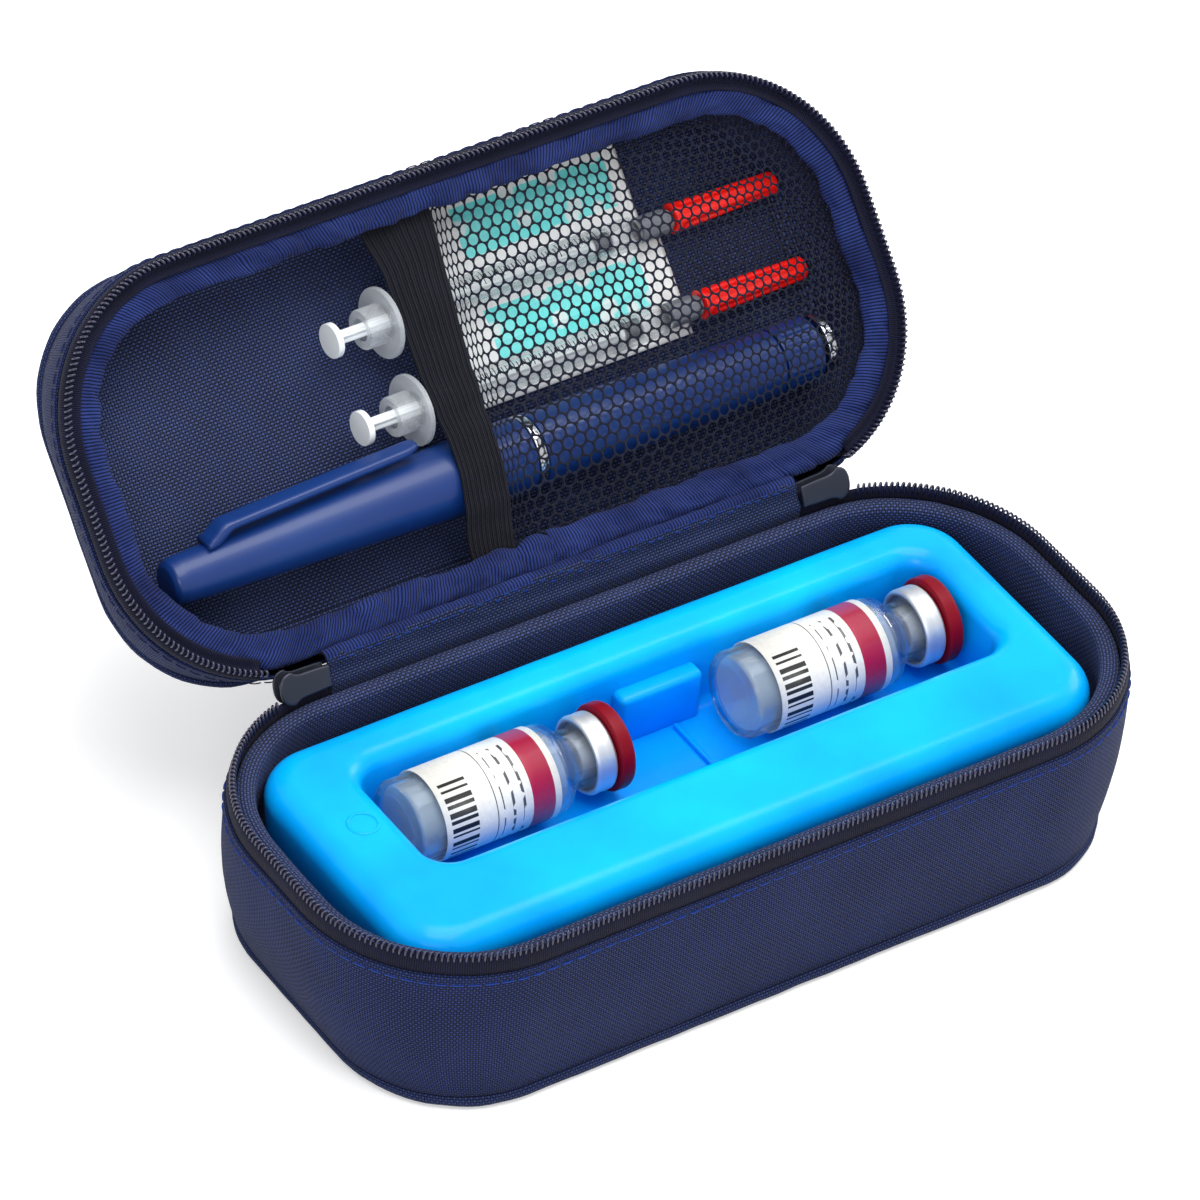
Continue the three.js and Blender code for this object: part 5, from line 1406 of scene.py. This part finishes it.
def tray_shell(look):
    """Moulded tray as one skin: foot, drafted sides, rolled edge, recess with its mouth and floor."""
    edge, foot, mouth, fillet = 6.2 * MM, 2.2 * MM, 4.2 * MM, 2.4 * MM
    widest = TRAY_TOP - edge

    def outer(inset, z):
        return tray_ring(TRAY_LENGTH, TRAY_WIDTH, TRAY_CORNER, inset, z)

    def recess(inset, z):
        return tray_ring(RECESS_LENGTH, RECESS_WIDTH, RECESS_CORNER, inset, z, RECESS_CENTRE)

    def towards_middle(ring, left, right, middle, t):
        """A floor's ring drawn in towards its middle line."""
        return [
            Vector((lerp(p.x, min(max(p.x, left), right), t), lerp(p.y, middle, t), p.z)) for p in ring
        ]

    rows = [
        outer(2.4 * MM + foot * (1 - s), TRAY_BOTTOM + foot * (1 - c)) for c, s in quarter_turn(5)
    ]
    rows.append(outer(1.2 * MM, lerp(TRAY_BOTTOM + foot, widest, 0.5)))
    rows += [outer(edge * (1 - c), widest + edge * s) for c, s in quarter_turn(14)]
    rolled = [
        recess(-mouth * (1 - c), TRAY_TOP - mouth * (1 - s)) for c, s in quarter_turn(10)[::-1]
    ]
    rows += [[p.lerp(q, t) for p, q in zip(rows[-1], rolled[0])] for t in (0.33, 0.66)] + rolled
    for t, (c, s) in zip(steps(6), quarter_turn(6)):
        rows.append(recess((0.8 + 0.3 * t) * MM + fillet * (1 - c), RECESS_FLOOR + fillet * (1 - s)))
    rows += [towards_middle(rows[-1], -50 * MM, 56 * MM, RECESS_CENTRE.y, t) for t in (0.35, 0.7, 1.0)]
    bottom = [towards_middle(rows[0], -50 * MM, 50 * MM, 0, t) for t in (0, 0.5, 1)]
    form = Form()
    form.grid(rows, around=True, flat=flat_map)
    form.grid(bottom, around=True, flat=flat_map)
    made = form.finish("ice_tray_shell")
    rumple(made, 0.12 * MM, 34 * MM, 6)
    dress(made, look.tray, "tray", ["ice_tray"])


def tray_details(look):
    """Bench between the vials, the rib beside it and the filling plug in its collar."""
    back, deep = RECESS_CENTRE.y + RECESS_WIDTH / 2, RECESS_FLOOR - 1 * MM
    blocks = [
        ("ice_tray_bench", (21 * MM, 5.6 * MM, BENCH_TOP - deep),
         (7.5 * MM, back - 1.6 * MM, (BENCH_TOP + deep) / 2), 1.5 * MM, 5),
        ("ice_tray_rib", (1.0 * MM, RECESS_WIDTH - 5.5 * MM, 2.2 * MM),
         (10.8 * MM, RECESS_CENTRE.y - 2.2 * MM, RECESS_FLOOR + 0.1 * MM), 0.4 * MM, 3),
    ]
    for name, size, centre, edge, segments in blocks:
        form = Form()
        form.block(size, centre)
        dress(bevelled(form.finish(name), edge, segments), look.tray, "tray")

    def upright(sunk):
        place = Matrix.Translation((*PLUG_PLACE, TRAY_TOP - sunk))
        return place @ Matrix.Rotation(-math.pi / 2, 4, "Y")

    plug = [(0, 0), (0, 2.3), (0.6, 2.6), (1.35, 2.6), (1.5, 2.4), (1.5, 1.5), (1.25, 1.3), (1.25, 0)]
    turned_piece("tray_plug_disc", plug, look.plug, "tray", "tray_plastic", upright(1.5 * MM),
                 ["tray_plug"], 64, 0.15)
    collar = [(0, 3.6), (0.25, 3.5), (0.35, 3.2), (0.2, 2.95), (-0.6, 2.9), (-0.6, 3.6), (0, 3.6)]
    turned_piece("tray_plug_collar", collar, look.tray, "tray", "tray_plastic", upright(0), (), 64, 0.1)


def vial_pieces(name, look):
    """Glass with its liquid, wrapped label, rubber stopper, crimped aluminium ring and flip cap."""
    height = RECESS_FLOOR + 2 * CLEARANCE + VIAL_RADIUS + 0.25 * MM
    place = Matrix.Translation((VIAL_FEET[name], VIAL_Y, height))
    body = f"vial_{name}"
    outside = [(38 + 3.8 * t, lerp(9.9, 6.6, smoothstep(0, 1, t))) for t in steps(8)]
    inside = [(38 + 3.8 * t - 0.4, lerp(8.8, 5.5, smoothstep(0, 1, t))) for t in steps(8)][::-1]
    glass = [(0.35, 0), (0.35, 6.6), (0, 7.6), (0.25, 8.9), (1.4, 9.9), *outside, (45.8, 6.6),
             (46.0, 7.6), (47.7, 7.6), (47.7, 5.5), *inside, (2.2, 8.8), (1.5, 8.0), (1.5, 0)]
    liquid = [(1.8, 0), (1.8, 8.0), (2.3, 8.5), (37.0, 8.5), (37.7, 8.2), (37.7, 0)]
    stopper = [(43.7, 0), (43.7, 5.0), (48.0, 5.2), (48.0, 7.6), (49.6, 7.6), (49.6, 0)]
    crimp = [(45.5, 7.75), (45.3, 8.3), (45.6, 8.7), (46.2, 8.9), (47.8, 8.8), (48.6, 8.85),
             (49.9, 8.8), (50.5, 8.2), (50.5, 3.0), (49.9, 3.0), (49.9, 8.2), (46.0, 8.2), (45.5, 7.75)]
    cap = [(50.8, 0), (50.8, 9.4), (51.1, 9.8), (53.6, 9.8), (54.3, 9.4), (54.5, 8.6), (54.3, 7.6),
           (54.3, 0)]
    turned_set(body, place, [
        ("glass_wall", "glass", glass, look.glass, body, "vial_glass", 128, 0.3),
        ("liquid_fill", "liquid", liquid, look.liquid, body, "vial_liquid", 96, 0.2),
    ])
    vial_label(body, look, place)
    turned_set(body, place, [
        ("stopper_plug", "stopper", stopper, look.rubber, body, "grey_rubber", 72, 0.25),
        ("crimp_band", "crimp_ring", crimp, look.aluminium, body, "crimp_aluminium", 96, 0.2),
        ("cap_disc", "flip_cap", cap, look.burgundy, body, "burgundy_plastic", 96, 0.25),
    ])


def vial_label(body, look, place):
    """Label wrapped round the glass; its cloth map gives (round, along) in metres."""
    inner, outer = 10.16 * MM, 10.28 * MM
    start, end = 6.4 * MM, 35 * MM
    turn = 2 * math.pi
    corners = [(start, inner), (start, outer), (end, outer), (end, inner), (start, inner)]
    form = Form()
    form.grid([
        [Vector((along, r * math.cos(turn * t), r * math.sin(turn * t))) for t in steps(128)]
        for along, r in corners
    ])
    for face in form.mesh.faces:
        wraps = [math.atan2(loop.vert.co.z, loop.vert.co.y) % turn * outer for loop in face.loops]
        over_start = max(wraps) - min(wraps) > outer * 3
        for loop, wrap in zip(face.loops, wraps):
            past = turn * outer if over_start and wrap < outer * 3 else 0
            loop[form.cloth].uv = (wrap + past, loop.vert.co.x - start)
    made = form.finish(f"{body}_label_wrap", place, merge=1e-7)
    dress(made, look.label, body, [f"{body}_label"])


def slider_outline():
    """Upper edge of a slider plate: narrow square tail at +x, waist, and a wide round nose at -x."""
    half_length, half_height = SLIDER_LENGTH / 2, SLIDER_HEIGHT / 2
    tail, neck = SLIDER_HEIGHT * 0.32, SLIDER_HEIGHT * 0.36
    waist, throat, shoulder = SLIDER_LENGTH * 0.2, -SLIDER_LENGTH * 0.17, -SLIDER_LENGTH * 0.25
    curves = [
        ((half_length, tail), (waist, neck), (0, neck)),
        ((0, neck), (throat, neck), (shoulder, half_height)),
        ((shoulder, half_height), (-half_length, half_height), (-half_length, 0.05 * MM)),
    ]
    outline = []
    for start, pull, end in curves:
        for t in steps(12)[1 if outline else 0:]:
            outline.append(tuple(
                (1 - t) ** 2 * a + 2 * t * (1 - t) * b + t * t * c
                for a, b, c in zip(start, pull, end)))
    return outline


def slider_block(side, look):
    """Cast slider: two smooth plates leaning back on a post, and an upright lug with a stud."""
    turn = 1 if side == "left" else -1
    outline = slider_outline()
    half_length, half_height = SLIDER_LENGTH / 2, SLIDER_HEIGHT / 2
    form = Form()
    for sign in (-1, 1):
        near, far = sign * 1.2 * MM, sign * 2.0 * MM
        rows = []
        for share, shrink in (
            (0, 0.15), (0.12, 0.03), (0.3, 0), (0.6, 0.03), (0.82, 0.16), (0.95, 0.36), (1, 0.66),
            (1, 1.3),
        ):
            depth, reach = lerp(near, far, share), shrink * MM
            upper = [
                Vector((x * (1 - reach / half_length), depth, h * (1 - reach / half_height)))
                for x, h in outline
            ]
            rows.append(upper + [Vector((p.x, p.y, -p.z)) for p in reversed(upper)])
        form.close(form.grid(rows, around=True))
    form.block((2.6 * MM, 3.2 * MM, 1.3 * MM), (-half_length + 2.6 * MM, 0, 0))
    lean = Matrix.Translation((0, SLIDER_OUT, 0)) @ Matrix.Rotation(-SLIDER_LEAN, 4, "X")
    for vertex in form.mesh.verts:
        vertex.co = lean @ vertex.co
    stud_z, foot_z, lug_radius = -SLIDER_RISE - LUG_DROP, -SLIDER_HEIGHT * 0.36, 2.2 * MM
    form.block((2 * lug_radius, 1.6 * MM, 1.0 * MM), (0, 2.0 * MM, foot_z + 0.5 * MM))
    lug = [
        (lug_radius * math.cos(math.pi * t), stud_z - lug_radius * math.sin(math.pi * t))
        for t in steps(16)
    ]
    lug += [(-lug_radius, foot_z + 1.0 * MM), (lug_radius, foot_z + 1.0 * MM)]
    form.close(form.grid([[Vector((x, y * MM, z)) for x, z in lug] for y in (2.0, 2.8)], around=True))
    place = Matrix.Translation((-turn * SLIDER_CENTRE, CASE_WIDTH / 2, BASE_HEIGHT + SLIDER_RISE))
    place = place @ Matrix.Diagonal((turn, 1, 1, 1))
    made = bevelled(form.finish(f"slider_{side}_block", place), 0.12 * MM, 2)
    peg = [(0, 0), (0, 0.8), (1.8, 0.8), (1.8, 1.4), (2.15, 1.4), (2.3, 1.1), (2.3, 0)]
    stud = place @ Matrix.Translation((0, 2.4 * MM, stud_z)) @ Matrix.Rotation(math.pi / 2, 4, "Z")
    turned_piece(f"slider_{side}_stud", peg, look.gunmetal, "base", "slider_metal", stud, (), 40, 0.15)
    dress(made, look.gunmetal, "base", [f"slider_{side}"])


def colour_of(name, description, red, green, blue):
    """A colour in the sidebar, given as a screen colour and kept as a linear one."""
    return FloatVectorProperty(
        name=name, description=description, subtype="COLOR", size=3, min=0, max=1,
        default=srgb(red, green, blue)[:3])


def distance(name, description, least, most, default):
    """A distance in the sidebar, in metres."""
    return FloatProperty(
        name=name, description=description, unit="LENGTH", subtype="DISTANCE", min=least, max=most,
        default=default)


class CoolingCaseColours(bpy.types.PropertyGroup):
    """Colours of the case and of its moulded pieces."""

    fabric: colour_of("Fabric", "Thread of the outer fabric", 14, 25, 62)
    fabric_worn: colour_of("Rubbed fabric", "The outer fabric's thread where it is rubbed", 36, 54, 112)
    binding: colour_of("Binding", "Roll of fabric round the lid's inner edge", 12, 27, 76)
    tray: colour_of("Tray", "Plastic of the ice tray", 0, 180, 250)
    tray_deep: colour_of("Tray shade", "Deeper blue in the ice tray's plastic", 0, 150, 240)
    pen: colour_of("Pen", "Plastic of the pen", 6, 42, 104)


class CoolingCaseSizes(bpy.types.PropertyGroup):
    """Sizes of the fine work that the frame leaves to the looks."""

    tooth_pitch: distance(
        "Tooth pitch", "Distance between neighbouring loops of the zip's coil", 0.001, 0.004, 0.00125)
    net_pitch: distance(
        "Net pitch", "Distance between neighbouring holes of the net", 0.0015, 0.006, 0.0027)


class CASE_OT_walls(bpy.types.Operator):
    """Outer walls, panels, piping and topstitching of the base and the lid"""

    bl_idname = "cooling_case.walls"
    bl_label = "Fabric Walls"
    bl_options = {"REGISTER", "UNDO"}

    def execute(self, context):
        look = looks(context)
        for name in HALVES:
            outer_wall(name, look)
            sewn_panel(name, look)
            piping_roll(name, look)
            topstitch(name, look)
        return {"FINISHED"}


class CASE_OT_liners(bpy.types.Operator):
    """Padded liners of the base and the lid"""

    bl_idname = "cooling_case.liners"
    bl_label = "Padded Liners"
    bl_options = {"REGISTER", "UNDO"}

    def execute(self, context):
        look = looks(context)
        for name in HALVES:
            padded_liner(name, look)
        return {"FINISHED"}


class CASE_OT_zips(bpy.types.Operator):
    """Zip tapes and coils of both halves"""

    bl_idname = "cooling_case.zips"
    bl_label = "Zips"
    bl_options = {"REGISTER", "UNDO"}

    def execute(self, context):
        look = looks(context)
        for name in HALVES:
            zip_tape(name, look)
            zip_teeth(name, look, context.scene.cooling_case_sizes.tooth_pitch)
        return {"FINISHED"}


class CASE_OT_hinge(bpy.types.Operator):
    """Fabric hinge between the sliders"""

    bl_idname = "cooling_case.hinge"
    bl_label = "Fabric Hinge"
    bl_options = {"REGISTER", "UNDO"}

    def execute(self, context):
        look = looks(context)
        hinge_cloth(look)
        return {"FINISHED"}


class CASE_OT_sliders(bpy.types.Operator):
    """Zip sliders with their pull tabs"""

    bl_idname = "cooling_case.sliders"
    bl_label = "Sliders"
    bl_options = {"REGISTER", "UNDO"}

    def execute(self, context):
        look = looks(context)
        for side in ("left", "right"):
            slider_block(side, look)
            tab = bpy.data.objects.get(f"pull_tab_{side}")
            if tab is None:
                raise RuntimeError(f"pull_tab_{side} isn't in the frame")
            tab.data.materials.clear()
            tab.data.materials.append(look.gunmetal)
        return {"FINISHED"}


class CASE_OT_lid_cover(bpy.types.Operator):
    """Binding roll, elastic ribbon and net pocket of the lid"""

    bl_idname = "cooling_case.lid_cover"
    bl_label = "Binding, Elastic and Net"
    bl_options = {"REGISTER", "UNDO"}

    def execute(self, context):
        look = looks(context)
        binding_roll(look)
        elastic_ribbon(look)
        net_sheet(look, context.scene.cooling_case_sizes.net_pitch)
        return {"FINISHED"}


class CASE_OT_sachets(bpy.types.Operator):
    """Two sealed sachets in the lid"""

    bl_idname = "cooling_case.sachets"
    bl_label = "Sachets"
    bl_options = {"REGISTER", "UNDO"}

    def execute(self, context):
        look = looks(context)
        for name in SACHETS:
            sachet_pillow(name, look)
        return {"FINISHED"}


class CASE_OT_pen(bpy.types.Operator):
    """Injection pen in the lid"""

    bl_idname = "cooling_case.pen"
    bl_label = "Pen"
    bl_options = {"REGISTER", "UNDO"}

    def execute(self, context):
        look = looks(context)
        pen_pieces(look)
        return {"FINISHED"}


class CASE_OT_syringes(bpy.types.Operator):
    """Two capped syringes in the lid"""

    bl_idname = "cooling_case.syringes"
    bl_label = "Syringes"
    bl_options = {"REGISTER", "UNDO"}

    def execute(self, context):
        look = looks(context)
        for name in SYRINGE_AXES:
            syringe_pieces(name, look)
        return {"FINISHED"}


class CASE_OT_tray(bpy.types.Operator):
    """Moulded ice tray with its bench, rib and plug"""

    bl_idname = "cooling_case.tray"
    bl_label = "Ice Tray"
    bl_options = {"REGISTER", "UNDO"}

    def execute(self, context):
        look = looks(context)
        tray_shell(look)
        tray_details(look)
        return {"FINISHED"}


class CASE_OT_vials(bpy.types.Operator):
    """Two labelled vials in the tray's recess"""

    bl_idname = "cooling_case.vials"
    bl_label = "Vials"
    bl_options = {"REGISTER", "UNDO"}

    def execute(self, context):
        look = looks(context)
        for name in VIAL_FEET:
            vial_pieces(name, look)
        return {"FINISHED"}


class CASE_OT_stage(bpy.types.Operator):
    """White floor, soft studio light and the photograph's camera"""

    bl_idname = "cooling_case.stage"
    bl_label = "Stage"
    bl_options = {"REGISTER", "UNDO"}

    def execute(self, context):
        white_floor()
        white_world(context.scene)
        soft_lamps()
        photo_camera(context.scene)
        return {"FINISHED"}


def white_floor():
    """Broad white floor; it glows for the camera only, so that it stays white round the shadow."""
    spread = [lerp(-3.0, 3.0, t) for t in steps(8)]
    form = Form()
    form.grid([[Vector((x, y, 0)) for x in spread] for y in spread])
    made = form.finish("studio_floor")
    look = bpy.data.materials.new("studio floor")
    look.use_nodes = True
    tree = look.node_tree
    grain = noise_of(tree, object_place(tree), 3.0, 1.0)
    seen = tree.nodes.new("ShaderNodeLightPath").outputs["Is Camera Ray"]
    set_inputs(
        tree, tree.nodes["Principled BSDF"], Roughness=0.9, Specular_IOR_Level=0.1,
        Base_Color=mixed(tree, grain, (0.86, 0.86, 0.86, 1), (0.88, 0.88, 0.88, 1)),
        Emission_Color=mixed(tree, seen, (0, 0, 0, 1), (0.3, 0.3, 0.3, 1)), Emission_Strength=1.0)
    made.data.materials.append(look)


def white_world(scene):
    """White to the camera and to mirrors and glass, plain pale light otherwise."""
    world = bpy.data.worlds.new("studio surround")
    world.use_nodes = True
    tree = world.node_tree
    tree.nodes.clear()
    light, seen = (
        set_inputs(
            tree, tree.nodes.new("ShaderNodeBackground"), Color=(1, 1, 1, 1), Strength=strength)[0]
        for strength in (0.75, 1.0)
    )
    rays = tree.nodes.new("ShaderNodeLightPath").outputs
    mix = tree.nodes.new("ShaderNodeMixShader")
    direct = calc(tree, "MAXIMUM", rays["Is Camera Ray"], rays["Is Transmission Ray"])
    for socket, value in zip(mix.inputs, (direct, light, seen)):
        feed(tree, socket, value)
    set_inputs(tree, tree.nodes.new("ShaderNodeOutputWorld"), Surface=mix.outputs[0])
    scene.world = world


def soft_lamps():
    """Large soft lamps: overhead, front left and a weaker one from the right."""
    lamps = [
        ("lamp_over", (0.1, -0.1, 1.5), (1.4, 1.0), 22.0),
        ("lamp_front_left", (-1.2, -1.1, 0.9), (0.9, 0.7), 9.0),
        ("lamp_right", (1.4, 0.2, 0.8), (0.8, 0.6), 7.0),
    ]
    aim = Vector((0, 0.03, 0.04))
    for name, place, size, power in lamps:
        data = bpy.data.lights.new(name, "AREA")
        data.shape = "RECTANGLE"
        data.size, data.size_y = size
        data.energy = power
        lamp = bpy.data.objects.new(name, data)
        lamp.location = place
        lamp.rotation_euler = (aim - Vector(place)).to_track_quat("-Z", "Y").to_euler()
        bpy.context.scene.collection.objects.link(lamp)


def photo_camera(scene):
    """Camera at the photograph's place and angle, turned a little about its own axis."""
    azimuth, elevation, roll = CAMERA_AZIMUTH, CAMERA_ELEVATION, CAMERA_ROLL
    back = Vector((
        math.sin(azimuth) * math.cos(elevation),
        -math.cos(azimuth) * math.cos(elevation),
        math.sin(elevation),
    ))
    right = (-back).cross(Vector((0, 0, 1))).normalized()
    up = right.cross(-back)
    across = math.cos(roll) * right + math.sin(roll) * up
    upward = -math.sin(roll) * right + math.cos(roll) * up
    data = bpy.data.cameras.new("photo_camera")
    data.lens = CAMERA_LENS_MM
    data.sensor_width = 36
    data.clip_end = 20
    camera = bpy.data.objects.new("photo_camera", data)
    turn = Matrix((across, upward, back)).transposed().to_4x4()
    camera.matrix_world = Matrix.Translation(CAMERA_PLACE) @ turn
    scene.collection.objects.link(camera)
    scene.camera = camera
    scene.view_settings.view_transform = "Standard"


STEPS = (
    CASE_OT_walls, CASE_OT_liners, CASE_OT_zips, CASE_OT_hinge, CASE_OT_sliders, CASE_OT_lid_cover,
    CASE_OT_sachets, CASE_OT_pen, CASE_OT_syringes, CASE_OT_tray, CASE_OT_vials, CASE_OT_stage,
)


class CASE_PT_panel(bpy.types.Panel):
    """Sidebar panel with the case's colours, sizes and building steps"""

    bl_label = "Cooling Case"
    bl_idname = "CASE_PT_panel"
    bl_space_type = "VIEW_3D"
    bl_region_type = "UI"
    bl_category = "Cooling Case"

    def draw(self, context):
        layout = self.layout
        for group in (context.scene.cooling_case_colours, context.scene.cooling_case_sizes):
            box = layout.box()
            for name in group.__annotations__:
                box.prop(group, name)
        for step in STEPS:
            layout.operator(step.bl_idname)


CLASSES = (CoolingCaseColours, CoolingCaseSizes, *STEPS, CASE_PT_panel)


def register():
    for item in CLASSES:
        bpy.utils.register_class(item)
    bpy.types.Scene.cooling_case_colours = PointerProperty(type=CoolingCaseColours)
    bpy.types.Scene.cooling_case_sizes = PointerProperty(type=CoolingCaseSizes)


def unregister():
    del bpy.types.Scene.cooling_case_sizes
    del bpy.types.Scene.cooling_case_colours
    for item in reversed(CLASSES):
        bpy.utils.unregister_class(item)


def main():
    register()
    for step in STEPS:
        group, name = step.bl_idname.split(".")
        getattr(getattr(bpy.ops, group), name)()


if __name__ == "__main__":
    main()
